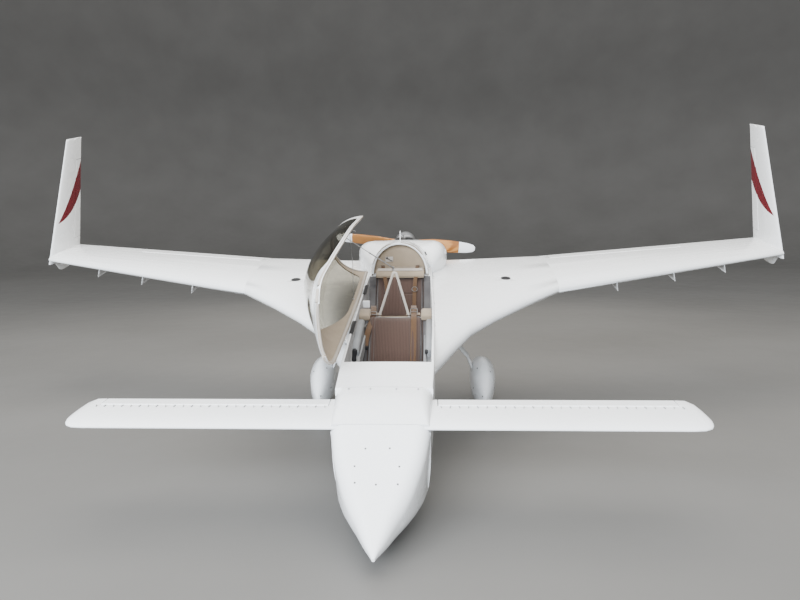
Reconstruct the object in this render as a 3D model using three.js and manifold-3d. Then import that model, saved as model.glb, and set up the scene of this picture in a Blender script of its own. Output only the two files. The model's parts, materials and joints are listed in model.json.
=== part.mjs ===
// Two-seat canard pusher aircraft, parked nose-down with its nose wheel up and its canopy open.
// Sizes are in inches, as such an aircraft's stations are: x is the buttock line (left wing
// positive), y the fuselage station (nose at the low end), z the waterline. Each piece is turned
// to millimetres when it is placed, and the whole aircraft is pitched to its parked attitude.
import * as THREE from 'three';
import { mergeVertices } from 'three/addons/utils/BufferGeometryUtils.js';
import Module from 'manifold-3d';

const wasm = await Module();
wasm.setup();

const INCH = 25.4;
const DEG = Math.PI / 180;

// Driving dimensions
const PARKED_PITCH = 15.6 * DEG;
const SEAM = 0.014; // gap between panels that touch
const MOVING_GAP = 0.22; // clearance of a moving piece
const SKIN = 0.8; // fuselage wall

const RAIL_WL = 22.9; // top of the fuselage sides
const FIREWALL_FS = 125;
const DECK_SEAM_FS = 26.3; // between the canard cover and the front deck
const SPAR_TE_FS = 141;

const CANARD = { lead: 13.6, trail: 25.9, wl: 20, half: 70.84, thick: 1.75 };
const ELEVATOR = { hinge: 22.9, inner: 12.6, outer: 66, radius: 0.53 };

const WING_ROOT_BL = 55.5;
const WING_TIP_BL = 156.8;
const AILERON = { inner: 59, outer: 117, chord: 6.6 };
const RUDDER = { bottom: 21.5, top: 56, chordBottom: 5.6, chordTop: 4 };

const WHEEL = { bl: 31.2, fs: 109.55, wl: -23.2, radius: 7, width: 4.8, rim: 3.2, axle: 0.55 };
const NOSE_WHEEL = { fs: 38, wl: 0.4, radius: 5, width: 3, rim: 2.2, axle: 0.3 };
const FLOOR = { wl: 0.12, slope: -0.2792 }; // the floor's waterline at station 0, and its slope

const PROP = { fs: 158.2, wl: 20.9, radius: 30.4, turn: 5.6 * DEG };
const SPINNER = { front: 153.7, plate: 155.75, back: 166, radius: 5, wall: 0.35 };

const CANOPY = { front: 26.7, back: 107, base: 23.15, wall: 0.45, glass: 0.2, open: 92.5 * DEG };
// The hinge line follows the right rail: its buttock line at one station, and its change for each inch aft
const CANOPY_HINGE = { bl: -12.075, fs: 72, wl: 23.2, skew: 0.01875, radius: 0.2, length: 2 };
const WINDOW = { front: 45, back: 104.6, sill: 25 };
const STAY = { fs: 86.5, topBl: -16.5, topWl: 43.3, lowBl: -0.95, lowWl: 32.6, radius: 0.2 };

const FINISH = {
  paint: { color: 0xe9eef2, roughness: 0.22, metalness: 0 },
  trim: { color: 0xb5a591, roughness: 0.7, metalness: 0 },
  upholstery: { color: 0x74584f, roughness: 0.85, metalness: 0 },
  panel: { color: 0x54565a, roughness: 0.6, metalness: 0.1 },
  rubber: { color: 0x1d1d1f, roughness: 0.9, metalness: 0 },
  metal: { color: 0xa8abae, roughness: 0.35, metalness: 0.9 },
  wood: { color: 0xa5673a, roughness: 0.35, metalness: 0 },
  glass: { color: 0x8a7f78, roughness: 0.05, metalness: 0 },
};

// Solids made from rings of points

function volumeSign(positions, faces) {
  let sum = 0;
  for (let i = 0; i < faces.length; i += 3) {
    const [a, b, c] = [0, 1, 2].map((k) => new THREE.Vector3().fromArray(positions, 3 * faces[i + k]));
    sum += a.dot(b.cross(c));
  }
  return Math.sign(sum);
}

function shellFrom(points, faces) {
  const positions = new Float32Array(points.flat());
  const outward = volumeSign(positions, faces) > 0 ? faces : faces.slice().reverse();
  const geometry = new THREE.BufferGeometry();
  geometry.setAttribute('position', new THREE.BufferAttribute(positions, 3));
  geometry.setIndex(outward);
  return geometry;
}

// Triangles that close a ring, wound the way the ring runs
function capFaces(ring) {
  const points = ring.map((p) => new THREE.Vector3(...p));
  const normal = new THREE.Vector3();
  points.forEach((p, i) => normal.add(p.clone().cross(points[(i + 1) % points.length])));
  const size = normal.toArray().map(Math.abs);
  const drop = size.indexOf(Math.max(...size));
  const [u, v] = [0, 1, 2].filter((axis) => axis !== drop);
  const flat = ring.map((p) => new THREE.Vector2(p[u], p[v]));
  const faces = THREE.ShapeUtils.triangulateShape(flat, []);
  const ringSign = Math.sign(THREE.ShapeUtils.area(flat));
  return faces.map(([a, b, c]) => {
    const sign = Math.sign(THREE.ShapeUtils.area([flat[a], flat[b], flat[c]]));
    return sign === ringSign ? [a, b, c] : [a, c, b];
  });
}

function loft(rings) {
  const count = rings[0].length;
  const faces = [];
  for (let i = 0; i < rings.length - 1; i++) {
    for (let j = 0; j < count; j++) {
      const a = i * count + j;
      const b = i * count + ((j + 1) % count);
      faces.push(a, b, b + count, a, b + count, a + count);
    }
  }
  const last = (rings.length - 1) * count;
  capFaces(rings[0]).forEach(([a, b, c]) => faces.push(a, c, b));
  capFaces(rings[rings.length - 1]).forEach(([a, b, c]) => faces.push(last + a, last + b, last + c));
  return shellFrom(rings.flat(), faces);
}

// An outline pushed along one axis; the outline's two numbers are the other two axes in order
function prism(axis, outline, from, to) {
  const at = (level) => outline.map(([u, v]) => {
    if (axis === 'x') return [level, u, v];
    if (axis === 'y') return [u, level, v];
    return [u, v, level];
  });
  return loft([at(from), at(to)]);
}

function box(x0, x1, y0, y1, z0, z1) {
  return prism('z', [[x0, y0], [x1, y0], [x1, y1], [x0, y1]], z0, z1);
}

function circle(radius, count, u = 0, v = 0) {
  return Array.from({ length: count }, (_, i) => {
    const angle = (2 * Math.PI * i) / count;
    return [u + radius * Math.cos(angle), v + radius * Math.sin(angle)];
  });
}

// A profile of [radius, distance along the axis] turned about an axis parallel to x or y
function turned(axis, profile, centre, count = 32) {
  const outline = profile.map(([radius, along]) => new THREE.Vector2(radius, along));
  const geometry = new THREE.LatheGeometry(outline, count);
  geometry.deleteAttribute('normal');
  geometry.deleteAttribute('uv');
  if (axis === 'x') geometry.rotateZ(-Math.PI / 2);
  geometry.translate(...centre);
  const merged = mergeVertices(geometry, 1e-4);
  const faces = [];
  for (let i = 0; i < merged.index.count; i += 3) {
    const [a, b, c] = [0, 1, 2].map((k) => merged.index.getX(i + k));
    if (a !== b && b !== c && c !== a) faces.push(a, b, c);
  }
  const points = Array.from({ length: merged.attributes.position.count }, (_, i) => (
    new THREE.Vector3().fromBufferAttribute(merged.attributes.position, i).toArray()));
  return shellFrom(points, faces);
}

// A round or flat bar through a list of places, with a section of the given half width and depth
function bar(places, halfWide, halfDeep = halfWide, count = 10) {
  const path = places.map((p) => new THREE.Vector3(...p));
  const rings = path.map((place, i) => {
    const before = path[Math.max(i - 1, 0)];
    const after = path[Math.min(i + 1, path.length - 1)];
    const along = after.clone().sub(before).normalize();
    const side = new THREE.Vector3(0, 1, 0);
    if (Math.abs(along.y) > 0.9) side.set(1, 0, 0);
    side.addScaledVector(along, -side.dot(along)).normalize();
    const up = along.clone().cross(side);
    return circle(1, count).map(([u, v]) => (
      place.clone().addScaledVector(side, u * halfWide).addScaledVector(up, v * halfDeep).toArray()));
  });
  return loft(rings);
}

// A hinge pin at the end of a control surface: it stands out of the fixed wall into the surface
const PIN = { radius: 0.2, wall: 0.5, reach: 0.8 };
function hingePin(end, other, grow) {
  const start = new THREE.Vector3(...end);
  const along = new THREE.Vector3(...other).sub(start).normalize();
  const from = start.clone().addScaledVector(along, -PIN.wall - MOVING_GAP);
  const to = start.clone().addScaledVector(along, PIN.reach + grow);
  return bar([from.toArray(), to.toArray()], PIN.radius + grow, PIN.radius + grow, 16);
}
const hingePins = (a, b, grow) => [hingePin(a, b, grow), hingePin(b, a, grow)];

// Joining and cutting

function solid(geometry) {
  const plain = geometry.clone();
  plain.deleteAttribute('normal');
  plain.deleteAttribute('uv');
  const merged = mergeVertices(plain, 1e-5);
  return new wasm.Manifold(new wasm.Mesh({
    numProp: 3,
    vertProperties: new Float32Array(merged.attributes.position.array),
    triVerts: new Uint32Array(merged.index.array),
  }));
}

function surface(body) {
  const mesh = body.getMesh();
  const geometry = new THREE.BufferGeometry();
  geometry.setAttribute('position', new THREE.BufferAttribute(new Float32Array(mesh.vertProperties), 3));
  geometry.setIndex(Array.from(mesh.triVerts));
  return geometry;
}

const join = (first, ...rest) => surface(rest.reduce((sum, part) => sum.add(solid(part)), solid(first)));
const cut = (first, ...rest) => surface(rest.reduce((sum, part) => sum.subtract(solid(part)), solid(first)));
const common = (first, second) => surface(solid(first).intersect(solid(second)));

function mirrored(geometry) {
  const copy = geometry.clone().scale(-1, 1, 1);
  copy.setIndex(Array.from(copy.index.array).reverse());
  return copy;
}

// Sections

const CHORD_STEPS = [1, 0.92, 0.8, 0.66, 0.52, 0.38, 0.26, 0.16, 0.08, 0.03, 0.008];
const EDGE = 0.06; // half thickness of a trailing edge

// Half thickness of a symmetric aerofoil of the given greatest thickness
function foilHalf(thick, s) {
  const form = 0.2969 * Math.sqrt(s) - 0.126 * s - 0.3516 * s ** 2 + 0.2843 * s ** 3 - 0.1036 * s ** 4;
  return 5 * thick * form + EDGE * s;
}

// An aerofoil ring from its leading point to its trailing point, thick along the face direction
function foilRing(lead, trail, thick, face = [0, 0, 1]) {
  const a = new THREE.Vector3(...lead);
  const b = new THREE.Vector3(...trail);
  const out = new THREE.Vector3(...face).normalize();
  const point = (s, side) => a.clone().lerp(b, s).addScaledVector(out, side * foilHalf(thick, s)).toArray();
  const upper = CHORD_STEPS.map((s) => point(s, 1));
  const lower = CHORD_STEPS.slice().reverse().map((s) => point(s, -1));
  return [...upper, lead, ...lower];
}

// A control surface ring: a round nose about its hinge, then straight sides to its trailing edge
function flapRing(hinge, trail, radius, face = [0, 0, 1]) {
  const h = new THREE.Vector3(...hinge);
  const aft = new THREE.Vector3(...trail).sub(h);
  const chord = aft.length();
  aft.normalize();
  const out = new THREE.Vector3(...face).normalize();
  const at = (along, off) => h.clone().addScaledVector(aft, along).addScaledVector(out, off).toArray();
  const nose = Array.from({ length: 9 }, (_, i) => {
    const angle = (Math.PI * i) / 8;
    return at(-radius * Math.sin(angle), radius * Math.cos(angle));
  });
  return [at(chord, EDGE), ...nose, at(chord, -EDGE)];
}

// A ring with two lower and two upper round corners, at one fuselage station
function roundRing(fs, half, bottom, top, lowRadius, topRadius, centre = 0) {
  const steps = 6;
  const corners = [
    // side, level, radius, start angle
    [1, top - topRadius, topRadius, 0],
    [-1, top - topRadius, topRadius, 90],
    [-1, bottom + lowRadius, lowRadius, 180],
    [1, bottom + lowRadius, lowRadius, 270],
  ];
  return corners.flatMap(([side, level, radius, start]) => (
    Array.from({ length: steps + 1 }, (_, i) => {
      const angle = (start + (90 * i) / steps) * DEG;
      return [
        centre + side * (half - radius) + radius * Math.cos(angle), fs,
        level + radius * Math.sin(angle),
      ];
    })));
}

// Finished pieces

const aircraft = new THREE.Group();
const airframe = new THREE.Group();
const hingeGroup = new THREE.Group();
const canopyGroup = new THREE.Group();
airframe.rotation.x = PARKED_PITCH;
airframe.add(hingeGroup);
hingeGroup.add(canopyGroup);
aircraft.add(airframe);

function piece(name, geometry, finish, parent = airframe) {
  const shape = geometry.clone().scale(INCH, INCH, INCH);
  const material = new THREE.MeshStandardMaterial(FINISH[finish]);
  const mesh = new THREE.Mesh(shape, material);
  mesh.name = name;
  parent.add(mesh);
}

function pair(name, geometry, finish) {
  piece(`${name}_left`, geometry, finish);
  piece(`${name}_right`, mirrored(geometry), finish);
}

// Fuselage tub

const TUB = [
  // fs, half width, bottom
  [14, 10.8, 0.5],
  [26, 11.4, 0.1],
  [41, 11.9, 0],
  [60, 12.1, 0],
  [80, 12.1, 0],
  [105, 11.6, 0.6],
  [FIREWALL_FS, 11.3, 2],
];
const tubHull = (grow, top) => loft(TUB.map(([fs, half, bottom]) => (
  roundRing(fs, half + grow, bottom - grow, top, 3.4 + grow, 0.5))));
const cabin = tubHull(-SKIN, RAIL_WL + 6);
const cabinFit = tubHull(-SKIN - SEAM, RAIL_WL + 6);
const tubGrown = tubHull(SEAM, RAIL_WL + SEAM);

const SEAT_BULKHEAD = { foot: 58.5, head: 79.5, thick: 1.7, topWl: 19.4 };
const REAR_BULKHEAD = { foot: 88, head: 107 };
const COCKPIT_FRONT = 39.5;
const FLOOR_WL = 0.9;

const frontCockpit = prism('x', [
  [COCKPIT_FRONT, 30], [COCKPIT_FRONT, FLOOR_WL], [SEAT_BULKHEAD.foot, FLOOR_WL],
  [SEAT_BULKHEAD.head, 22], [SEAT_BULKHEAD.head, 30],
], -20, 20);
const rearCockpit = prism('x', [
  [SEAT_BULKHEAD.head + SEAT_BULKHEAD.thick, 30], [SEAT_BULKHEAD.head + SEAT_BULKHEAD.thick, 22],
  [SEAT_BULKHEAD.foot + SEAT_BULKHEAD.thick, FLOOR_WL], [REAR_BULKHEAD.foot, FLOOR_WL],
  [REAR_BULKHEAD.head, 21], [REAR_BULKHEAD.head, 30],
], -20, 20);
const legTunnel = box(-20, 20, 28, COCKPIT_FRONT + 1, FLOOR_WL, 21.6);
const wheelHousing = box(-3.9, 3.9, 20, 45.4, -5, 7.2);
const wheelWell = box(-3.1, 3.1, 29.8, 44.6, -5, 6.4);
const strutGroove = box(-1.7, 1.7, 10, 31, -5, 1.9);
const canardNotch = box(-20, 20, 10, DECK_SEAM_FS, CANARD.wl - 1.1, 40);
const DECK_SEAT_WL = 21.9;
const DECK_TOP_WL = 22.93;
const deckSeat = box(-20, 20, DECK_SEAM_FS - 1, COCKPIT_FRONT + SEAM, DECK_SEAT_WL, 40);
const gearBox = box(-9, 9, 101.5, 116.5, -2.4, 4);

const HINGE_STATIONS = [52, 92];
const hingeBl = (fs) => CANOPY_HINGE.bl + CANOPY_HINGE.skew * (fs - CANOPY_HINGE.fs);
function barrel(fs) {
  const { radius, length, skew, wl } = CANOPY_HINGE;
  return turned('y', [[0, 0], [radius, 0], [radius, length], [0, length]], [0, 0, 0], 12)
    .rotateZ(-Math.atan(skew)).translate(hingeBl(fs), fs, wl);
}
const hingeBarrel = (fs) => join(
  barrel(fs),
  box(hingeBl(fs) - 0.15, hingeBl(fs) + 0.7, fs, fs + CANOPY_HINGE.length, 21.9, 22.6),
  box(hingeBl(fs) - 0.15, hingeBl(fs) + 0.18, fs, fs + CANOPY_HINGE.length, 21.9, CANOPY_HINGE.wl - 0.1),
);

const tub = cut(
  join(tubHull(0, RAIL_WL), gearBox, ...HINGE_STATIONS.map(hingeBarrel)),
  cut(common(frontCockpit, cabin), wheelHousing),
  cut(common(legTunnel, cabin), wheelHousing),
  common(rearCockpit, cabin),
  common(box(-20, 20, 74, 84, SEAT_BULKHEAD.topWl, 40), cabin),
  wheelWell, strutGroove, canardNotch, deckSeat,
);
piece('fuselage_tub', tub, 'paint');

// Nose

const NOSE = [
  // fs, half width, bottom, top, low radius, top radius
  [-9.4, 0.3, 6.1, 6.8, 0.25, 0.25],
  [-8.4, 0.9, 5.7, 7.7, 0.8, 0.7],
  [-7, 1.8, 5, 8.6, 1.6, 1.4],
  [-5, 3, 4.1, 9.8, 2.7, 2],
  [-2.5, 4.5, 3.1, 11.2, 4.1, 2.6],
  [0.5, 6.4, 2.2, 12.9, 5, 3],
  [4, 8, 1.4, 14.9, 5, 3],
  [9, 9.7, 0.8, 17.9, 4.4, 3],
  [14 - SEAM, 10.8, 0.5, 20.9, 3.4, 3],
];
const noseLoft = loft(NOSE.map(([fs, ...size]) => roundRing(fs, ...size)));

const bumperOutline = [[0.6, 1.6], [3.8, 1.6], [3.8, FLOOR.wl + FLOOR.slope * 3.8],
  [0.6, FLOOR.wl + FLOOR.slope * 0.6]];
const noseGrown = loft(NOSE.map(([fs, half, bottom, ...rest]) => (
  roundRing(fs, half + SEAM, bottom - SEAM, ...rest))));
piece('nose_bumper', cut(prism('x', bumperOutline, -1.5, 1.5), noseGrown), 'rubber');

// Canard and elevators

const CANARD_STATIONS = [
  // bl, leading edge, trailing edge, thickness
  [0, CANARD.lead, CANARD.trail, CANARD.thick],
  [66, CANARD.lead, CANARD.trail, CANARD.thick],
  [68.4, 13.8, 25.8, 1.62],
  [69.8, 14.4, 24.2, 1.3],
  [70.5, 15.3, 21.6, 0.9],
  [CANARD.half, 16.4, 19, 0.45],
];
function canardLoft(grow) {
  const rings = CANARD_STATIONS.map(([bl, lead, trail, thick]) => foilRing(
    [bl, lead - grow, CANARD.wl], [bl, trail + grow, CANARD.wl], thick + 2 * grow));
  const other = CANARD_STATIONS.slice(1).reverse().map(([bl, lead, trail, thick]) => foilRing(
    [-bl, lead - grow, CANARD.wl], [-bl, trail + grow, CANARD.wl], thick + 2 * grow));
  return loft([...other, ...rings]);
}
const elevatorSlot = box(
  ELEVATOR.inner - MOVING_GAP, ELEVATOR.outer + MOVING_GAP,
  ELEVATOR.hinge - ELEVATOR.radius - MOVING_GAP, 30, 15, 25);
const elevatorEnds = [ELEVATOR.inner, ELEVATOR.outer].map((bl) => [bl, ELEVATOR.hinge, CANARD.wl]);
const elevatorPins = hingePins(...elevatorEnds, 0);
const canardBare = cut(canardLoft(0), elevatorSlot, mirrored(elevatorSlot));
piece('canard', join(canardBare, ...elevatorPins, ...elevatorPins.map(mirrored)), 'paint');
piece('nose_fairing', cut(noseLoft, canardLoft(SEAM)), 'paint');

const elevator = loft(elevatorEnds.map((hinge) => flapRing(
  hinge, [hinge[0], CANARD.trail, CANARD.wl], ELEVATOR.radius)));
pair('elevator', cut(elevator, ...hingePins(...elevatorEnds, SEAM)), 'paint');

// Decks over the canard and in front of the cockpit

const DECK = [
  // fs, half width, top
  [14, 10.8, 20.95],
  [17.5, 11, 22.2],
  [22, 11.2, 23],
  [DECK_SEAM_FS - SEAM, 11.4, 23.4],
];
const deckLoft = loft(DECK.map(([fs, half, top]) => roundRing(fs, half, 17.5, top, 0.1, 3)));
piece('canard_cover', cut(
  deckLoft,
  canardLoft(SEAM),
  box(-20, 20, 10, DECK_SEAM_FS, 15, CANARD.wl),
), 'paint');

// The closed canopy's front edge comes down on this deck, level with the rails
const FRONT_DECK = [
  // fs, half width
  [DECK_SEAM_FS + SEAM, 11.4],
  [COCKPIT_FRONT, 11.84],
];
piece('front_deck', loft(FRONT_DECK.map(([fs, half]) => (
  roundRing(fs, half, DECK_SEAT_WL + SEAM, DECK_TOP_WL, 0.05, 0.3)))), 'paint');

// Turtledeck behind the cockpit

const TURTLE = [
  // fs, half width, top
  [107.5, 10.3, 35.3],
  [113, 10.3, 34.2],
  [119, 10, 32.6],
  [FIREWALL_FS, 9.6, 30.9],
];
function archRing(fs, half, base, height, fullness, skirt = 0, count = 20) {
  const arc = Array.from({ length: count + 1 }, (_, i) => {
    const angle = (Math.PI * i) / count;
    const c = Math.cos(angle);
    const s = Math.sin(angle);
    return [
      half * Math.sign(c) * Math.abs(c) ** (2 / fullness), fs,
      base + height * s ** (2 / fullness),
    ];
  });
  if (!skirt) return arc;
  return [[half, fs, base - skirt], ...arc, [-half, fs, base - skirt]];
}
const TURTLE_BASE = RAIL_WL + SEAM;
const TURTLE_FULLNESS = 2.1; // 2 would be an ellipse
const turtleLoft = (grow, skirt) => loft(TURTLE.map(([fs, half, top], i) => (
  archRing(i ? fs + grow : fs, half + grow, TURTLE_BASE, top + grow - TURTLE_BASE, TURTLE_FULLNESS, skirt))));
const turtleRoom = common(turtleLoft(-0.55, 2), box(-20, 20, 100, FIREWALL_FS - 4, 20, 40));
piece('turtledeck', cut(turtleLoft(0, 0), turtleRoom), 'paint');
const trimPanel = common(
  turtleLoft(-0.55 - SEAM, 2),
  box(-20, 20, 110.2, 110.7, RAIL_WL + SEAM, 40),
);
piece('rear_trim_panel', trimPanel, 'trim');

// Cowling around the engine

const COWL = [
  // fs, half width, bottom, top, low radius, top radius
  [118, 12, 0.6, 24.6, 4, 2],
  [124, 15.6, -2.4, 28.9, 5, 4],
  [131, 17.2, -3, 29.1, 6, 5],
  [140, 16.6, -0.6, 26.9, 6, 5],
  [147, 13.2, 5, 25, 5.6, 5],
  [151, 9.4, 11.5, 24.2, 5, 5],
];
const COWL_WALL = 0.45;
// The tail stretches the last section aft, for the room inside that is open at the back
const cowlLoft = (grow, tail = 0) => loft(COWL.map(([fs, half, bottom, top, low, high], i) => roundRing(
  i < COWL.length - 1 ? fs : fs + tail, half + grow, bottom - grow, top + grow, low + grow, high + grow)));
const cowlRoom = common(cowlLoft(-COWL_WALL, 1), box(-30, 30, 119, 160, -20, 40));
const humpLoft = loft([
  // fs, half width, height over the cowl's middle
  [FIREWALL_FS + SEAM, 9.6, 30.9],
  [132, 8.8, 29.3],
  [141, 6, 26.4],
].map(([fs, half, top]) => archRing(fs, half, TURTLE_BASE, top - TURTLE_BASE, TURTLE_FULLNESS)));
const scoop = loft([
  // fs, half width, bottom
  [112, 6, -4.6],
  [120, 7, -5.4],
  [132, 7, -4.4],
  [142, 5.4, 1],
].map(([fs, half, bottom]) => roundRing(fs, half, bottom, 8, 1.6, 1)));
const scoopMouth = loft([
  [111, 5.4, -4],
  [117, 5.6, -3.6],
].map(([fs, half, bottom]) => roundRing(fs, half, bottom, 0, 1, 1)));
const cowlShell = cut(
  join(cowlLoft(0), humpLoft, scoop),
  cowlRoom, tubGrown, turtleLoft(2 * SEAM, 2), scoopMouth,
  box(-20, 20, 100, 118, -2.4 - SEAM, 40),
);
const COWL_SPLIT = 20.5;
piece('cowling_top', cut(cowlShell, box(-40, 40, 90, 170, -20, COWL_SPLIT)), 'paint');
piece('cowling_bottom', cut(cowlShell, box(-40, 40, 90, 170, COWL_SPLIT - SEAM, 60)), 'paint');

// Engine, propeller and spinner

const SHAFT = { radius: 2, start: 143 };
const engineShaft = turned('y', [
  [0, SHAFT.start], [SHAFT.radius, SHAFT.start], [SHAFT.radius, SPINNER.front - SEAM], [0, SPINNER.front - SEAM],
], [0, 0, PROP.wl], 24);
const engineMount = [-1, 1].flatMap((side) => [9, 19].map((wl) => (
  bar([[side * 7, FIREWALL_FS + SEAM, wl], [side * 7, 131, wl]], 0.5))));
const engine = join(box(-12.5, 12.5, 129, 144, 8, 23.6), engineShaft, ...engineMount);
piece('engine_block', engine, 'metal');

const BLADE = [
  // distance from the hub, chord, thickness, pitch in degrees
  [2.2, 3, 2.4, 60],
  [6, 4.3, 1.5, 48],
  [12, 5.6, 0.9, 36],
  [20, 5.4, 0.62, 26],
  [27, 4.2, 0.42, 20],
  [29.6, 3, 0.32, 18],
  [PROP.radius, 1.4, 0.24, 18],
];
function blade(side) {
  return loft(BLADE.map(([out, chord, thick, pitch]) => {
    const turn = pitch * DEG;
    const along = new THREE.Vector3(0, Math.sin(turn), side * Math.cos(turn));
    const face = [0, Math.cos(turn), -side * Math.sin(turn)];
    const place = new THREE.Vector3(side * out, 0, 0);
    const lead = place.clone().addScaledVector(along, -chord / 2);
    const trail = place.clone().addScaledVector(along, chord / 2);
    return foilRing(lead.toArray(), trail.toArray(), thick, face);
  }));
}
const hubDepth = PROP.fs - SPINNER.plate - SEAM;
const hub = turned('y', [[0, -hubDepth], [3, -hubDepth], [3, 2.4], [0, 2.4]], [0, 0, 0], 24);
const propeller = join(hub, blade(1), blade(-1));
propeller.rotateY(PROP.turn);
propeller.translate(0, PROP.fs, PROP.wl);
piece('propeller', propeller, 'wood');

const spinnerOuter = [
  // radius, station
  [SPINNER.radius, SPINNER.front],
  [SPINNER.radius, 156.4],
  [4.8, 159],
  [4.2, 161.6],
  [3, 164],
  [1.5, 165.6],
];
const spinnerInner = spinnerOuter.map(([radius, fs], i) => (
  [radius - SPINNER.wall, i ? fs - SPINNER.wall : fs + SPINNER.wall])).reverse();
const spinnerShell = turned('y', [
  [SHAFT.radius, SPINNER.front], ...spinnerOuter, [0, SPINNER.back], [0, SPINNER.back - SPINNER.wall],
  ...spinnerInner, [SHAFT.radius, SPINNER.front + SPINNER.wall], [SHAFT.radius, SPINNER.front],
], [0, 0, PROP.wl], 24);
const plateRadius = SPINNER.radius - SPINNER.wall / 2;
const spinnerPlate = turned('y', [
  [0, SPINNER.front], [plateRadius, SPINNER.front], [plateRadius, SPINNER.plate], [0, SPINNER.plate],
], [0, 0, PROP.wl], 24);
const bladeSlot = prism('x', circle(2.6, 16, PROP.fs, 0), -9, 9).rotateY(PROP.turn);
bladeSlot.translate(0, 0, PROP.wl);
piece('spinner', cut(join(spinnerShell, spinnerPlate), bladeSlot), 'metal');

// Strakes and wings

const STRAKE = [
  // bl, leading edge, trailing edge, wl, thickness
  [10, 38.9, SPAR_TE_FS, 18.1, 8.9],
  [12.65, 44.7, SPAR_TE_FS, 18.1, 8.8],
  [17, 54.8, SPAR_TE_FS, 18.1, 8.6],
  [23, 67.4, SPAR_TE_FS, 18.2, 8.3],
  [31, 77.4, 141.4, 18.4, 7.8],
  [42, 89.2, 142.1, 18.6, 7.1],
  [WING_ROOT_BL - SEAM, 102.1, 143, 18.9, 6.2],
];
const strakeLoft = loft(STRAKE.map(([bl, lead, trail, wl, thick]) => (
  foilRing([bl, lead, wl], [bl, trail, wl], thick))));
const CAP = { bl: 37.4, fs: 106, radius: 1.7, depth: 0.5 };
const capRow = STRAKE.findIndex(([bl]) => bl > CAP.bl);
const capShare = (CAP.bl - STRAKE[capRow - 1][0]) / (STRAKE[capRow][0] - STRAKE[capRow - 1][0]);
const [, capLead, capTrail, capWl, capThick] = STRAKE[capRow - 1]
  .map((value, i) => value + capShare * (STRAKE[capRow][i] - value));
const capTop = capWl + foilHalf(capThick, (CAP.fs - capLead) / (capTrail - capLead));
const capProfile = (grow, top) => [[0, 0], [CAP.radius + grow, 0], [CAP.radius + grow, top], [0, top]];
const capDisc = (grow, top) => turned('y', capProfile(grow, top), [0, 0, 0], 24)
  .rotateX(Math.PI / 2).translate(CAP.bl, CAP.fs, capTop - CAP.depth);
const cowlGrown = join(cowlLoft(SEAM), scoop);
const strake = cut(strakeLoft, tubGrown, cowlGrown, capDisc(SEAM, 3));
const hingeRooms = HINGE_STATIONS.map((fs) => (
  box(hingeBl(fs) - 0.5, -10, fs - 0.2, fs + 2 * CANOPY_HINGE.length + 0.3, 21.6, 25)));
piece('strake_left', strake, 'paint');
piece('strake_right', cut(mirrored(strake), ...hingeRooms), 'paint');
pair('fuel_cap', capDisc(0, CAP.depth + 0.12).translate(0, 0, SEAM), 'panel');

const WING = [
  // bl, leading edge, trailing edge, wl, thickness
  [WING_ROOT_BL, 102.1, 143, 18.9, 6.2],
  [WING_TIP_BL, 149.35, 174.8, 17.05, 3.3],
];
function wingAt(bl) {
  const share = (bl - WING_ROOT_BL) / (WING_TIP_BL - WING_ROOT_BL);
  return WING[0].map((value, i) => value + share * (WING[1][i] - value));
}
const wingLoft = loft(WING.map(([bl, lead, trail, wl, thick]) => (
  foilRing([bl, lead, wl], [bl, trail, wl], thick))));

function aileronEnd(bl) {
  const [, lead, trail, wl, thick] = wingAt(bl);
  const hinge = trail - AILERON.chord;
  const radius = foilHalf(thick, (hinge - lead) / (trail - lead));
  return { hinge: [bl, hinge, wl], trail: [bl, trail, wl], radius };
}
const aileronEnds = [AILERON.inner, AILERON.outer].map(aileronEnd);
const aileron = loft(aileronEnds.map(({ hinge, trail, radius }) => flapRing(hinge, trail, radius)));
const [slotIn, slotOut] = aileronEnds.map(({ hinge, radius }) => hinge[1] - radius - MOVING_GAP);
const aileronSlot = prism('z', [
  [AILERON.inner - MOVING_GAP, slotIn], [AILERON.outer + MOVING_GAP, slotOut],
  [AILERON.outer + MOVING_GAP, 200], [AILERON.inner - MOVING_GAP, 200],
], 0, 40);

const VORTILON_BLS = [78.5, 103, 126.5];
const vortilons = VORTILON_BLS.map((bl) => {
  const [, lead, , wl] = wingAt(bl);
  return prism('x', [
    [lead - 2.2, wl - 3.1], [lead + 7, wl - 3.1], [lead + 11, wl - 1.2], [lead + 3, wl], [lead + 0.3, wl],
  ], bl - 0.08, bl + 0.08);
});

// Winglets and rudders

const WINGLET = { lowWl: 14.9, topWl: 65.65 };
function wingletAt(wl) {
  const share = (wl - 17) / (WINGLET.topWl - 17);
  return {
    lead: 150.5 + share * 25.5,
    trail: 174.8 + share * 13.2,
    bl: 157 - share * 3.9,
    thick: 2.3 - share * 1.2,
  };
}
const wingletFace = [1, 0, 0.08];
function wingletRing(wl, grow) {
  const { lead, trail, bl, thick } = wingletAt(wl);
  return foilRing([bl, lead - grow, wl], [bl, trail + grow, wl], thick + 2 * grow, wingletFace);
}
const lowerFin = loft([
  // wl, leading edge, trailing edge, bl, thickness
  [17.5, 151.5, 169, 157, 1.7],
  [10.6, 156.8, 166, 158, 1],
  [9.8, 158.4, 164.6, 158.1, 0.6],
].map(([wl, lead, trail, bl, thick]) => foilRing([bl, lead, wl], [bl, trail, wl], thick, [1, 0, 0.1])));
const wingletLoft = (grow) => loft([WINGLET.lowWl, 40, WINGLET.topWl - 1, WINGLET.topWl]
  .map((wl) => wingletRing(wl, grow)));

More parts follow.
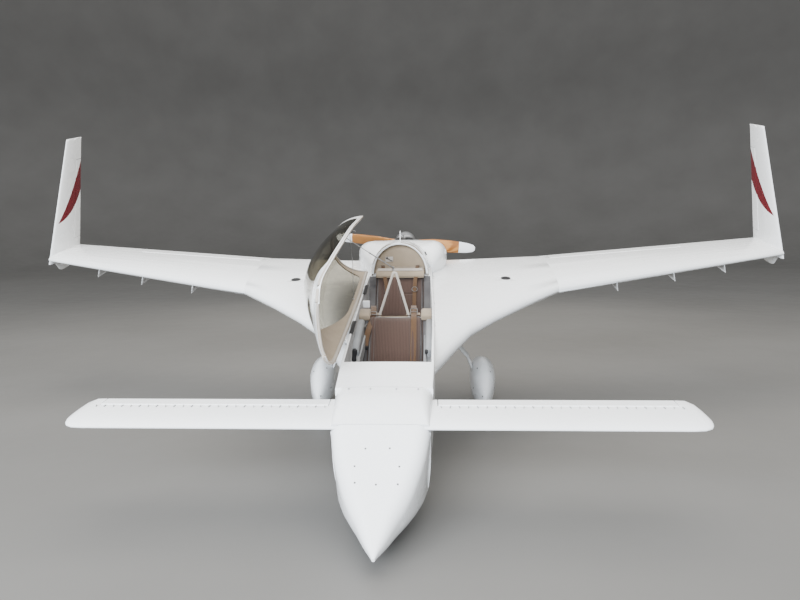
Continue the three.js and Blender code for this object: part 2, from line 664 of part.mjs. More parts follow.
function rudderEnd(wl, chord) {
  const { lead, trail, bl, thick } = wingletAt(wl);
  const hinge = trail - chord;
  const radius = foilHalf(thick, (hinge - lead) / (trail - lead));
  return { hinge: [bl, hinge, wl], trail: [bl, trail, wl], radius };
}
const rudderEnds = [rudderEnd(RUDDER.bottom, RUDDER.chordBottom), rudderEnd(RUDDER.top, RUDDER.chordTop)];
const rudder = loft(rudderEnds.map(({ hinge, trail, radius }) => (
  flapRing(hinge, trail, radius, wingletFace))));
const [slotLow, slotHigh] = rudderEnds.map(({ hinge, radius }) => hinge[1] - radius - MOVING_GAP);
const rudderSlot = prism('x', [
  [slotLow, RUDDER.bottom - MOVING_GAP], [200, RUDDER.bottom - MOVING_GAP],
  [200, RUDDER.top + MOVING_GAP], [slotHigh, RUDDER.top + MOVING_GAP],
], 140, 170);

const aileronHinge = aileronEnds.map(({ hinge }) => hinge);
const rudderHinge = rudderEnds.map(({ hinge }) => hinge);
const wingBare = cut(join(wingLoft, ...vortilons), aileronSlot, wingletLoft(SEAM), lowerFin);
pair('wing', join(wingBare, ...hingePins(...aileronHinge, 0)), 'paint');
pair('aileron', cut(aileron, ...hingePins(...aileronHinge, SEAM)), 'paint');
const wingletBare = cut(join(wingletLoft(0), lowerFin), rudderSlot);
pair('winglet', join(wingletBare, ...hingePins(...rudderHinge, 0)), 'paint');
pair('rudder', cut(rudder, ...hingePins(...rudderHinge, SEAM)), 'paint');

// Main gear

const LEG = [
  // bl, wl, half chord, half thickness
  [9 + SEAM, -1.2, 3, 0.85],
  [16, -2.3, 2.8, 0.75],
  [21, -5.1, 2.6, 0.7],
  [24.6, -9.6, 2.4, 0.62],
  [26.5, -14.7, 2.2, 0.56],
  [27.1, -19.5, 2, 0.5],
  [27.2, -24.4, 1.8, 0.5],
];
function legLoft(grow) {
  return loft(LEG.map(([bl, wl, wide, deep], i) => {
    const before = LEG[Math.max(i - 1, 0)];
    const after = LEG[Math.min(i + 1, LEG.length - 1)];
    const along = i === 0 ? new THREE.Vector2(1, 0)
      : new THREE.Vector2(after[0] - before[0], after[1] - before[1]).normalize();
    return circle(1, 14).map(([u, v]) => [
      bl - along.y * v * (deep + grow),
      WHEEL.fs + u * (wide + grow),
      wl + along.x * v * (deep + grow),
    ]);
  }));
}
pair('gear_leg', legLoft(0), 'paint');

const PANT = [
  // fs, half width, bottom, top
  [95, 0.7, -21.4, -18.8],
  [96.4, 2, -23.5, -16],
  [99.5, 3.5, -26, -12.2],
  [104, 4.5, -27.4, -9.7],
  [110, 4.85, -27.6, -10.4],
  [117, 4.3, -27, -13.7],
  [124, 2.9, -25.6, -17.4],
  [129, 1.5, -24, -20.1],
  [132, 0.4, -22.8, -21.6],
];
const PANT_BL = 30.4;
const PANT_FULLNESS = 2.4; // 2 would be an ellipse
const fuller = (value) => Math.sign(value) * Math.abs(value) ** (2 / PANT_FULLNESS);
const pantLoft = loft(PANT.map(([fs, half, bottom, top]) => circle(1, 24).map(([u, v]) => [
  PANT_BL + half * fuller(u), fs, (bottom + top) / 2 + ((top - bottom) / 2) * fuller(v),
])));
const wellHalf = WHEEL.width / 2 + 0.35;
const wellRadius = WHEEL.radius + 0.55;
const pantWell = join(
  prism('x', circle(wellRadius, 32, WHEEL.fs, WHEEL.wl), WHEEL.bl - wellHalf, WHEEL.bl + wellHalf),
  box(WHEEL.bl - wellHalf, WHEEL.bl + wellHalf, WHEEL.fs - wellRadius, WHEEL.fs + wellRadius, -40, WHEEL.wl),
);
const [legEndBl, , , legEndDeep] = LEG[LEG.length - 1];
const axleIn = legEndBl + legEndDeep + SEAM;
const axleRoom = prism('x', circle(1.75, 20, WHEEL.fs, WHEEL.wl), axleIn - 0.5, WHEEL.bl);
pair('wheel_pant', cut(pantLoft, pantWell, legLoft(SEAM), axleRoom), 'paint');

const pantSide = WHEEL.bl + wellHalf;
const axle = join(
  turned('x', [[0, axleIn], [1.6, axleIn], [1.6, axleIn + 0.25], [0, axleIn + 0.25]],
    [0, WHEEL.fs, WHEEL.wl], 20),
  turned('x', [[0, axleIn + 0.2], [WHEEL.axle, axleIn + 0.2], [WHEEL.axle, pantSide - SEAM],
    [0, pantSide - SEAM]], [0, WHEEL.fs, WHEEL.wl], 20),
);
pair('axle', axle, 'metal');

// Wheels

function tyreProfile(radius, width, bead) {
  const half = width / 2;
  const crown = radius - half * 0.62;
  return [
    [bead, -half * 0.72], [bead + 0.5, -half * 0.92], [crown - 0.6, -half], [crown + half * 0.12, -half * 0.93],
    [crown + half * 0.42, -half * 0.68], [radius - 0.04, -half * 0.32], [radius, 0],
    [radius - 0.04, half * 0.32], [crown + half * 0.42, half * 0.68], [crown + half * 0.12, half * 0.93],
    [crown - 0.6, half], [bead + 0.5, half * 0.92], [bead, half * 0.72], [bead, -half * 0.72],
  ];
}
function rimProfile(bead, width, bore) {
  const half = width / 2;
  return [
    [bore, -half * 0.6], [bore + 0.9, -half * 0.6], [bore + 1.1, -half * 0.3], [bead - 0.5, -half * 0.4],
    [bead - 2 * SEAM, -half * 0.76], [bead - 2 * SEAM, half * 0.76], [bead - 0.5, half * 0.4],
    [bore + 1.1, half * 0.3], [bore + 0.9, half * 0.6], [bore, half * 0.6], [bore, -half * 0.6],
  ];
}
const mainHub = [WHEEL.bl, WHEEL.fs, WHEEL.wl];
pair('tyre', turned('x', tyreProfile(WHEEL.radius, WHEEL.width, WHEEL.rim), mainHub, 32), 'rubber');
pair('rim', turned('x', rimProfile(WHEEL.rim, WHEEL.width, WHEEL.axle + SEAM), mainHub, 20), 'metal');

const noseHub = [0, NOSE_WHEEL.fs, NOSE_WHEEL.wl];
piece('nose_tyre', turned('x', tyreProfile(NOSE_WHEEL.radius, NOSE_WHEEL.width, NOSE_WHEEL.rim),
  noseHub, 24), 'rubber');
piece('nose_rim', turned('x', rimProfile(NOSE_WHEEL.rim, NOSE_WHEEL.width, NOSE_WHEEL.axle + SEAM),
  noseHub, 16), 'metal');
const forkSides = [-1, 1].map((side) => (
  bar([[side * 2, 30.6, 0.7], [side * 2, NOSE_WHEEL.fs, NOSE_WHEEL.wl]], 0.22, 0.7)));
const noseStrut = join(
  box(-1.2, 1.2, 15, 31.5, 0, 1.88),
  box(-2.2, 2.2, 30.4, 31.6, 0, 1.4),
  ...forkSides,
  turned('x', [[0, -2.2], [NOSE_WHEEL.axle, -2.2], [NOSE_WHEEL.axle, 2.2], [0, 2.2]], noseHub, 16),
);
piece('nose_gear_leg', noseStrut, 'paint');

// Cockpit furniture

const seatSlope = (22 - FLOOR_WL) / (SEAT_BULKHEAD.head - SEAT_BULKHEAD.foot);
const rearSlope = (21 - FLOOR_WL) / (REAR_BULKHEAD.head - REAR_BULKHEAD.foot);
function seatBack(foot, slope, fromWl, toWl, depth) {
  const at = (wl) => foot + (wl - FLOOR_WL) / slope;
  const off = depth * Math.hypot(1, 1 / slope);
  return prism('x', [
    [at(fromWl) - 0.03, fromWl], [at(toWl) - 0.03, toWl], [at(toWl) - off, toWl], [at(fromWl) - off, fromWl],
  ], -8.6, 8.6);
}
piece('front_seat_back', seatBack(SEAT_BULKHEAD.foot, seatSlope, 3.4, 19, 1.9), 'upholstery');
const seatCushion = (from, to) => common(box(-8.4, 8.4, from, to, FLOOR_WL + SEAM, 3.2), cabinFit);
piece('front_seat_cushion', seatCushion(46.2, 58.2), 'upholstery');
piece('rear_seat_back', seatBack(REAR_BULKHEAD.foot, rearSlope, 3.4, 20, 1.9), 'upholstery');
piece('rear_seat_cushion', seatCushion(73.5, 87.4), 'upholstery');

const headrestFoot = SEAT_BULKHEAD.topWl + SEAM;
const headrestRing = (half, fs, wl) => [[-half, fs, wl], [half, fs, wl], [half, fs + 2.6, wl], [-half, fs + 2.6, wl]];
const headrest = loft([
  // half width, fs, wl
  [5.9, 76.9, headrestFoot],
  [5.7, 77.1, 20.6],
  [1.3, 80.6, 30.7],
  [0.6, 80.9, 31.6],
].map((row) => headrestRing(...row)));
const pegEnd = STAY.fs - STAY.radius - 0.36; // the rod swings past the end of the peg
const headrestPeg = bar([
  [0, 82, 30.8], [-0.4, 84, 31.4], [STAY.lowBl, 85, STAY.lowWl], [STAY.lowBl, pegEnd, STAY.lowWl],
], 0.16);
piece('headrest', join(headrest, headrestPeg), 'upholstery');

const consoleBox = (x0, x1) => common(box(x0, x1, 46, 70, 13, 16.5), cabinFit);
piece('console_left', consoleBox(8.9, 14), 'trim');
piece('console_right', consoleBox(-14, -8.9), 'trim');
piece('instrument_panel', common(box(-14, 14, COCKPIT_FRONT - 0.7, COCKPIT_FRONT - 0.1, 12, 21.6 - SEAM),
  cabinFit), 'panel');

const finOutline = [[114, 32], [117.4, 32], [117.2, 36.9], [115.4, 37]];
piece('antenna_fin', cut(prism('x', finOutline, -0.12, 0.12), turtleLoft(SEAM, 2)), 'paint');

// Canopy, drawn closed and turned open about its hinge line

const BUBBLE = [
  // fs, half width, height over the rails, fullness (2 is an ellipse)
  [CANOPY.front, 7.6, 1.1, 2.2],
  [28, 9.3, 1.7, 2.2],
  [30, 10.6, 2.4, 2.2],
  [33.5, 11.5, 3.5, 2.1],
  [40, 11.8, 5.6, 2.05],
  [46, 11.9, 7.8, 2],
  [52, 12, 9.6, 2],
  [60, 12, 11.6, 1.95],
  [72, 12, 13.2, 1.85],
  [85, 11.8, 13.8, 1.8],
  [97, 11, 13.3, 1.85],
  [CANOPY.back, 10.3, 12.15, 2],
];
const bubbleLoft = (inset) => loft(BUBBLE.map(([fs, half, height, fullness]) => (
  archRing(fs, half - inset, CANOPY.base, height - inset, fullness))));
const shellOuter = bubbleLoft(0);
const windowBox = (grow) => box(-20, 20, WINDOW.front - grow, WINDOW.back + grow, WINDOW.sill - grow, 60);
const longInner = (inset) => {
  const [[firstFs, ...first], ...middle] = BUBBLE;
  const [lastFs, ...last] = BUBBLE[BUBBLE.length - 1];
  // It starts behind the front lip and runs out past the back edge
  return loft([[firstFs + inset, ...first], ...middle, [lastFs + 1, ...last]].map(([fs, half, height, fullness]) => (
    archRing(fs, half - inset, CANOPY.base, height - inset, fullness, 1))));
};
const railSection = (half, wide) => [
  [half, CANOPY.base], [half - wide, CANOPY.base], [half - wide, CANOPY.base + 1.2], [half - 0.1, CANOPY.base + 1.2],
];
const RAIL_WIDTH = 1;
const rail = loft(BUBBLE.map(([fs, half]) => (
  railSection(half - 0.05, RAIL_WIDTH).map(([x, z]) => [x, fs, z]))));
function movingBarrel(fs) {
  const start = fs + CANOPY_HINGE.length + 2 * SEAM;
  const bl = hingeBl(start);
  return join(
    barrel(start),
    box(bl - 0.05, bl + 1.2, start, start + CANOPY_HINGE.length, CANOPY_HINGE.wl + 0.05, 24.1),
  );
}
// Where a point of the open canopy lies when it is closed
function closedPlace(bl, wl) {
  const dx = bl - hingeBl(STAY.fs);
  const dz = wl - CANOPY_HINGE.wl;
  return {
    bl: hingeBl(STAY.fs) + dx * Math.cos(CANOPY.open) + dz * Math.sin(CANOPY.open),
    wl: CANOPY_HINGE.wl - dx * Math.sin(CANOPY.open) + dz * Math.cos(CANOPY.open),
  };
}
const closedTop = closedPlace(STAY.topBl, STAY.topWl);
const bracket = join(
  box(closedTop.bl - 0.5, 11, STAY.fs + 0.55, STAY.fs + 0.85, 23.4, 24.3),
  box(closedTop.bl - 0.5, 10.3, STAY.fs + 0.55, STAY.fs + 0.85, 23.4, closedTop.wl + 0.5),
  bar([[closedTop.bl, STAY.fs - 0.6, closedTop.wl], [closedTop.bl, STAY.fs + 0.7, closedTop.wl]], 0.16),
);
const canopyFrame = join(
  cut(shellOuter, longInner(CANOPY.wall), windowBox(0)),
  rail, mirrored(rail), bracket, ...HINGE_STATIONS.map(movingBarrel),
);
const canopyGlass = common(cut(shellOuter, longInner(CANOPY.glass)), windowBox(-SEAM));
hingeGroup.position.set(CANOPY_HINGE.bl * INCH, CANOPY_HINGE.fs * INCH, CANOPY_HINGE.wl * INCH);
hingeGroup.rotation.z = -Math.atan(CANOPY_HINGE.skew);
canopyGroup.rotation.y = -CANOPY.open;
const fromHinge = (geometry) => geometry.clone()
  .translate(-CANOPY_HINGE.bl, -CANOPY_HINGE.fs, -CANOPY_HINGE.wl)
  .rotateZ(Math.atan(CANOPY_HINGE.skew));
piece('canopy_frame', fromHinge(canopyFrame), 'paint', canopyGroup);
piece('canopy_glass', fromHinge(canopyGlass), 'glass', canopyGroup);

const stayDir = new THREE.Vector2(STAY.lowBl - STAY.topBl, STAY.lowWl - STAY.topWl).normalize();
const stayEnd = [STAY.lowBl, STAY.fs, STAY.lowWl];
const eye = cut(
  prism('y', circle(0.45, 16, STAY.topBl, STAY.topWl), STAY.fs - 0.25, STAY.fs + 0.25),
  prism('y', circle(0.18, 12, STAY.topBl, STAY.topWl), STAY.fs - 1, STAY.fs + 1),
);
const rodStart = [STAY.topBl + stayDir.x * 0.35, STAY.fs, STAY.topWl + stayDir.y * 0.35];
piece('canopy_stay', join(eye, bar([rodStart, stayEnd], STAY.radius)), 'metal');

// The aircraft stands on the floor with its origin under its middle

aircraft.updateMatrixWorld(true);
const bounds = new THREE.Box3().setFromObject(aircraft, true);
const middle = bounds.getCenter(new THREE.Vector3());
airframe.position.set(-middle.x, -middle.y, -bounds.min.z);

export default aircraft;
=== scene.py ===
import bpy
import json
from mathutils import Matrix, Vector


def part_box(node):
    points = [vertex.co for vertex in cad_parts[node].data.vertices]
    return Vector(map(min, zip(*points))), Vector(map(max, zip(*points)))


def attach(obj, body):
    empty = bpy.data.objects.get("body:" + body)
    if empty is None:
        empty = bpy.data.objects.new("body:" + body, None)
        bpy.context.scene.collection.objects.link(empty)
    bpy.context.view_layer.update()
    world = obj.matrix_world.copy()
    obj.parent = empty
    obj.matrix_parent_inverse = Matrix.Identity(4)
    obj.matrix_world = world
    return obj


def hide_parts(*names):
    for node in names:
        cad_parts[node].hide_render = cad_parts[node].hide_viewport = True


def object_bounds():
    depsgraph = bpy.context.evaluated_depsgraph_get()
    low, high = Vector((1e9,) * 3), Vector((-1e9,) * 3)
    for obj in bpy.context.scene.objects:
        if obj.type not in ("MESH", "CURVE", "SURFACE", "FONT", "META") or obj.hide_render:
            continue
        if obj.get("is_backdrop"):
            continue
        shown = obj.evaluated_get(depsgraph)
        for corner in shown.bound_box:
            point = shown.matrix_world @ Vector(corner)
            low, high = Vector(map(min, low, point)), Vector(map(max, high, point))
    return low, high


bl_info = {
    "name": "Canard aircraft dressing",
    "version": (1, 0, 0),
    "blender": (4, 5, 0),
    "location": "3D Viewport > Sidebar > Canard",
    "description": "Dresses a parked two-seat canard aircraft with its surfaces and small parts",
    "category": "Object",
}

import json
import math

import bmesh
import bpy
from mathutils import Matrix, Vector
from mathutils.bvhtree import BVHTree

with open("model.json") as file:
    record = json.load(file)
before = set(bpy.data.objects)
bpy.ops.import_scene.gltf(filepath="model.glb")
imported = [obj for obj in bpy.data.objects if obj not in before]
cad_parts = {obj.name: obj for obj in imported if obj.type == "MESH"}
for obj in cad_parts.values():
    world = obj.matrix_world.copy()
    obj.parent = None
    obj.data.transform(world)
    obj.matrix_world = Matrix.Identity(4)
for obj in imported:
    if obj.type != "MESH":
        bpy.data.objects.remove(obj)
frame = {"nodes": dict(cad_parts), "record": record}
CAD_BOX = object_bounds()

# Places are in inches of station, as the aircraft's own drawings give them: x is the buttock line
# (left wing positive), y the fuselage station (nose at the low end), z the waterline.
INCH = 0.0254
PARKED_PITCH = math.radians(15.6)
NOSE_AXLE = Vector((0, 38, 0.4))
HINGE = Vector((-12.075, 72, 23.2))
HINGE_SLOPE = 0.01875
HINGE_SKEW = math.atan(HINGE_SLOPE)
CANOPY_OPEN = math.radians(92.5)


def parked():
    """The matrix from stations in inches to the frame in metres, found from the nose wheel's axle."""
    low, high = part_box("nose_tyre")
    return (
        Matrix.Translation((low + high) / 2)
        @ Matrix.Rotation(PARKED_PITCH, 4, "X")
        @ Matrix.Scale(INCH, 4)
        @ Matrix.Translation(-NOSE_AXLE)
    )


PARKED = parked()
OPENED = (
    PARKED
    @ Matrix.Translation(HINGE)
    @ Matrix.Rotation(-HINGE_SKEW, 4, "Z")
    @ Matrix.Rotation(-CANOPY_OPEN, 4, "Y")
    @ Matrix.Rotation(HINGE_SKEW, 4, "Z")
    @ Matrix.Translation(-HINGE)
)


def settings():
    return bpy.context.scene.canard_dressing


# Numbers along tables


def between(rows, at):
    """The row of a table, whose first column rises, at a value between its rows, on a smooth curve."""
    last = len(rows) - 1
    i = max(0, min(last - 1, sum(row[0] <= at for row in rows) - 1))
    low, high = rows[i], rows[i + 1]
    before, after = rows[max(i - 1, 0)], rows[min(i + 2, last)]
    step = high[0] - low[0]
    t = (at - low[0]) / step

    def column(k):
        slope_low = (high[k] - before[k]) / (high[0] - before[0]) * step
        slope_high = (after[k] - low[k]) / (after[0] - low[0]) * step
        return (
            (2 * t**3 - 3 * t**2 + 1) * low[k]
            + (t**3 - 2 * t**2 + t) * slope_low
            + (3 * t**2 - 2 * t**3) * high[k]
            + (t**3 - t**2) * slope_high
        )

    return [at] + [column(k) for k in range(1, len(low))]


def mixed(a, b, share):
    return a + (b - a) * share


def span(low, high, count):
    return [mixed(low, high, i / (count - 1)) for i in range(count)]


# Finishes


def feed(tree, socket, value):
    """Feeds a node's input: by a link from another socket, or with a number or colour of its own."""
    if isinstance(value, bpy.types.NodeSocket):
        tree.links.new(value, socket)
    elif socket.type == "RGBA":
        socket.default_value = (*value, 1)
    else:
        socket.default_value = value


def added(tree, kind, inputs=None, **options):
    """A new node of a tree, with its options set and its inputs fed."""
    made = tree.nodes.new(kind)
    for name, value in options.items():
        setattr(made, name, value)
    for key, value in (inputs or {}).items():
        feed(tree, made.inputs[key], value)
    return made


class Finish:
    """One procedural material: its shader, and short ways to add the nodes that feed it."""

    def __init__(self, name, place="Object"):
        self.material = bpy.data.materials.new(name)
        self.material.use_nodes = True
        self.tree = self.material.node_tree
        self.shader = self.tree.nodes["Principled BSDF"]
        self.place = self.node("TexCoord").outputs[place]

    def node(self, kind, inputs=None, **options):
        return added(self.tree, "ShaderNode" + kind, inputs, **options)

    def mapped(self, scale=(1, 1, 1), turn=(0, 0, 0)):
        return self.node("Mapping", {"Vector": self.place, "Scale": scale, "Rotation": turn}).outputs[0]

    def noise(self, scale, detail, stretch=(1, 1, 1)):
        inputs = {"Vector": self.mapped(stretch), "Scale": scale, "Detail": detail}
        return self.node("TexNoise", inputs).outputs["Fac"]

    def wave(self, scale, direction, distortion=0.0):
        inputs = {"Vector": self.mapped(), "Scale": scale, "Distortion": distortion}
        return self.node("TexWave", inputs, bands_direction=direction).outputs["Fac"]

    def math(self, operation, first, second=0.0):
        return self.node("Math", {0: first, 1: second}, operation=operation).outputs[0]

    def reach(self, first, second, centre):
        """How far a place, given by two of its coordinates, lies from a centre."""
        squares = [
            self.math("POWER", self.math("SUBTRACT", value, middle), 2.0)
            for value, middle in zip((first, second), centre)
        ]
        return self.math("SQRT", self.math("ADD", *squares))

    def ramp(self, value, *stops):
        """Colours along a value: each stop is a place and a colour."""
        made = self.node("ValToRGB", {"Fac": value})
        elements = made.color_ramp.elements
        while len(elements) < len(stops):
            elements.new(0.5)
        for element, (place, color) in zip(elements, stops):
            element.position = place
            element.color = (*color, 1)
        return made.outputs["Color"]

    def clouded(self, scale, detail, dark, light, ends=(0.3, 0.7)):
        """Two colours that noise clouds into each other."""
        return self.ramp(self.noise(scale, detail), (ends[0], dark), (ends[1], light))

    def range(self, value, low, high):
        return self.node("MapRange", {"Value": value, "To Min": low, "To Max": high}).outputs[0]

    def uneven(self, scale, detail, low, high):
        """A number that noise varies between low and high."""
        return self.range(self.noise(scale, detail), low, high)

    def mix(self, share, first, second):
        return self.node("Mix", {0: share, 6: first, 7: second}, data_type="RGBA").outputs[2]

    def bump(self, height, depth, under=None):
        """Relief of the given depth in metres, over another relief if one is given."""
        inputs = {"Height": height, "Distance": depth}
        if under is not None:
            inputs["Normal"] = under
        return self.node("Bump", inputs).outputs[0]

    def pebbled(self, scale, depth):
        """Relief of small cells, as leathercloth and crackle paint have."""
        cells = self.node("TexVoronoi", {"Vector": self.place, "Scale": scale})
        return self.bump(cells.outputs["Distance"], depth)

    def station(self):
        """Object coordinates as buttock line, fuselage station and waterline, in inches."""
        turned = self.node("Mapping", {
            "Vector": self.place,
            "Location": tuple(PARKED.translation),
            "Rotation": (PARKED_PITCH, 0, 0),
            "Scale": (INCH, INCH, INCH),
        }, vector_type="TEXTURE").outputs[0]
        return self.node("SeparateXYZ", {0: turned}).outputs

    def shade(self, inputs):
        for name, value in inputs.items():
            feed(self.tree, self.shader.inputs[name], value)
        return self.material


def darker(color, share):
    return tuple(channel * share for channel in color)


def mottled_white(made):
    paint = settings().paint
    return made.clouded(1.6, 4, darker(paint, 0.965), paint)


def painted(made, color):
    """Gloss paint: a little dust in its gloss, a trace of orange peel and a clear coat."""
    return made.shade({
        "Base Color": color,
        "Roughness": made.uneven(7, 5, 0.2, 0.34),
        "Coat Weight": 0.45,
        "Coat Roughness": 0.08,
        "Normal": made.bump(made.noise(240, 2), 0.00003),
    })


def white_paint():
    """Gloss white with faint mottling."""
    made = Finish("white_paint")
    return painted(made, mottled_white(made))


STRIPE_EDGES = [
    # three points (fs, wl) on each edge of the winglet's stripe: the lower edge, then the upper one
    ((159.5, 30.8), (172, 34.8), (181.3, 41.9)),
    ((159.5, 31), (173, 42.5), (187, 57.5)),
]


def circle_through(a, b, c):
    """Centre and radius of the circle through three points."""
    turn = 2 * (a[0] * (b[1] - c[1]) + b[0] * (c[1] - a[1]) + c[0] * (a[1] - b[1]))
    far = [p[0] ** 2 + p[1] ** 2 for p in (a, b, c)]
    x = (far[0] * (b[1] - c[1]) + far[1] * (c[1] - a[1]) + far[2] * (a[1] - b[1])) / turn
    y = (far[0] * (c[0] - b[0]) + far[1] * (a[0] - c[0]) + far[2] * (b[0] - a[0])) / turn
    return (x, y), math.hypot(a[0] - x, a[1] - y)


def striped_paint():
    """The same paint with the dark red crescent that crosses the winglet and its rudder."""
    made = Finish("striped_paint")
    white = mottled_white(made)
    _, fs, wl = made.station()
    inside = []
    for edge in STRIPE_EDGES:
        centre, radius = circle_through(*edge)
        inside.append(made.math("LESS_THAN", made.reach(fs, wl, centre), radius))
    share = made.math("MULTIPLY", inside[0], made.math("SUBTRACT", 1.0, inside[1]))
    stripe = settings().stripe
    return painted(made, made.mix(share, white, made.clouded(14, 3, darker(stripe, 0.85), stripe)))


def beige_trim():
    """Padded leathercloth on the cabin's walls and the canopy's frame."""
    made = Finish("beige_trim")
    color = settings().trim
    return made.shade({
        "Base Color": made.clouded(11, 5, darker(color, 0.84), color, (0.28, 0.72)),
        "Roughness": made.uneven(30, 3, 0.5, 0.68),
        "Normal": made.pebbled(420, 0.0004),
        "Sheen Weight": 0.15,
    })


def trim_with_painted_light():
    """The trim's leathercloth made lighter on edges and rails: painted light, standing in for the light that
    falls on them.
    """
    made = Finish("trim_with_painted_light")
    color = tuple(mixed(channel, 0.6, 0.4) for channel in settings().trim)
    return made.shade({
        "Base Color": made.clouded(11, 5, darker(color, 0.9), color, (0.28, 0.72)),
        "Roughness": made.uneven(30, 3, 0.42, 0.6),
        "Normal": made.pebbled(420, 0.0003),
    })


def pale_grey():
    """Light grey leathercloth of the side panels and consoles."""
    made = Finish("pale_grey")
    return made.shade({
        "Base Color": made.clouded(9, 5, (0.21, 0.217, 0.225), (0.26, 0.267, 0.277)),
        "Roughness": made.uneven(30, 3, 0.5, 0.7),
        "Normal": made.pebbled(380, 0.0003),
    })


def upholstery():
    """Brown cloth with fine ribs that run up the seats."""
    made = Finish("upholstery")
    color = settings().upholstery
    ribs = made.wave(27, "X", 0.5)
    worn = made.noise(5, 5)
    ribbed = made.ramp(ribs, (0.1, darker(color, 0.5)), (0.7, color))
    return made.shade({
        "Base Color": made.mix(made.math("MULTIPLY", worn, 0.35), ribbed, darker(color, 1.25)),
        "Roughness": made.range(worn, 0.78, 0.95),
        "Normal": made.bump(made.noise(700, 2), 0.0006, made.bump(ribs, 0.0016)),
        "Sheen Weight": 0.3,
        "Sheen Roughness": 0.5,
    })


def piping():
    """Tight cord of plain cloth along the seats' edges."""
    made = Finish("piping")
    color = settings().upholstery
    return made.shade({
        "Base Color": made.clouded(30, 4, darker(color, 0.5), darker(color, 0.75)),
        "Roughness": made.uneven(80, 3, 0.7, 0.9),
        "Normal": made.bump(made.noise(500, 2), 0.0004),
    })


def webbing():
    """Woven harness webbing, on the strap's own map in metres."""
    made = Finish("webbing", "UV")
    color = settings().webbing
    weave = made.math("MULTIPLY", made.wave(170, "X"), made.wave(170, "Y", 0.6))
    return made.shade({
        "Base Color": made.ramp(weave, (0.05, darker(color, 0.6)), (0.7, color)),
        "Roughness": made.uneven(60, 3, 0.6, 0.85),
        "Normal": made.bump(weave, 0.0005),
        "Sheen Weight": 0.2,
    })


def cabin_lining():
    """Grey flocked lining of the cockpit's walls and floor."""
    made = Finish("cabin_lining")
    fibres = made.noise(320, 4)
    return made.shade({
        "Base Color": made.clouded(6, 5, (0.085, 0.08, 0.08), (0.15, 0.143, 0.142)),
        "Roughness": made.range(fibres, 0.82, 0.98),
        "Normal": made.bump(fibres, 0.0012),
        "Sheen Weight": 0.3,
    })


def grey_panel():
    """Grey crackle-finished instrument panel."""
    made = Finish("grey_panel")
    return made.shade({
        "Base Color": made.clouded(9, 4, (0.11, 0.113, 0.117), (0.17, 0.173, 0.177)),
        "Roughness": made.uneven(40, 3, 0.5, 0.7),
        "Normal": made.pebbled(650, 0.0003),
    })


def bare_metal():
    """Brushed aluminium and steel, with fine scratches along the brushing."""
    made = Finish("bare_metal")
    brushed = made.noise(180, 3, (1, 9, 1))
    return made.shade({
        "Base Color": made.clouded(12, 4, (0.5, 0.51, 0.52), (0.66, 0.66, 0.67)),
        "Metallic": 1.0,
        "Roughness": made.range(brushed, 0.22, 0.42),
        "Normal": made.bump(brushed, 0.0001),
    })


def cast_metal():
    """Rough grey castings and pipes, darkened by heat and oil."""
    made = Finish("cast_metal")
    soot = made.noise(9, 6)
    return made.shade({
        "Base Color": made.ramp(soot, (0.35, (0.09, 0.085, 0.08)), (0.7, (0.3, 0.3, 0.3))),
        "Metallic": 0.85,
        "Roughness": made.range(soot, 0.4, 0.65),
        "Normal": made.bump(made.noise(300, 3), 0.0006),
    })


def black_rubber():
    """Moulded black rubber and plastic of knobs, bezels and the nose bumper."""
    made = Finish("black_rubber")
    return made.shade({
        "Base Color": made.clouded(18, 4, (0.012, 0.012, 0.013), (0.03, 0.03, 0.031)),
        "Roughness": made.uneven(50, 3, 0.45, 0.7),
        "Normal": made.bump(made.noise(420, 2), 0.0002),
    })


def tyre_rubber():
    """Tyre rubber with a grey bloom of dust and a fine moulded grain."""
    made = Finish("tyre_rubber")
    return made.shade({
        "Base Color": made.clouded(13, 6, (0.018, 0.018, 0.018), (0.06, 0.057, 0.053), (0.35, 0.75)),
        "Roughness": made.uneven(70, 3, 0.75, 0.95),
        "Normal": made.bump(made.noise(260, 3), 0.0005),
    })


# The propeller's axis, how far its blades are turned, and where the white paint of the tips starts
PROPELLER = {"wl": 20.9, "turn": math.radians(5.6), "tip": 23.5}


def laminated_wood():
    """Varnished laminations across the blade, with the white paint of the tips."""
    made = Finish("laminated_wood")
    bl, _, wl = made.station()
    layers = made.node("TexWave", {
        "Vector": made.mapped((0.06, 1, 1), (PARKED_PITCH, PROPELLER["turn"], 0)),
        "Scale": 34.0,
        "Distortion": 1.6,
        "Detail": 3.0,
    }, bands_direction="Y").outputs["Fac"]
    grain = made.noise(90, 4, (0.08, 1, 1))
    pale = made.ramp(
        layers, (0.2, (0.23, 0.085, 0.02)), (0.55, (0.4, 0.175, 0.05)), (0.8, (0.46, 0.22, 0.07)))
    wood = made.mix(made.math("MULTIPLY", grain, 0.5), pale, (0.27, 0.11, 0.03))
    tip = made.math("GREATER_THAN", made.reach(bl, wl, (0, PROPELLER["wl"])), PROPELLER["tip"])
    return made.shade({
        "Base Color": made.mix(tip, wood, darker(settings().paint, 0.97)),
        "Roughness": made.range(grain, 0.16, 0.3),
        "Coat Weight": 0.8,
        "Coat Roughness": 0.06,
        "Normal": made.bump(grain, 0.0001),
    })


def smoked_glass():
    """Thin bronze acrylic: clear, tinted, with faint polishing haze."""
    made = Finish("smoked_glass")
    return made.shade({
        "Base Color": settings().tint,
        "Roughness": made.uneven(22, 4, 0.0, 0.05),
        "Transmission Weight": 1.0,
        "IOR": 1.16,
        "Coat Weight": 0.1,
        "Coat Roughness": 0.02,
        "Normal": made.bump(made.noise(4, 2), 0.0002),
    })


def black_and_painted_shade():
    """Dull black, used as painted shade for slots, deep gaps and the recesses round the fairings' screw
    heads, and also on the fuel caps and hinge leaves.
    """
    made = Finish("black_and_painted_shade")
    return made.shade({
        "Base Color": made.clouded(40, 3, (0.012, 0.012, 0.013), (0.022, 0.022, 0.023)),
        "Roughness": made.uneven(30, 3, 0.6, 0.8),
    })


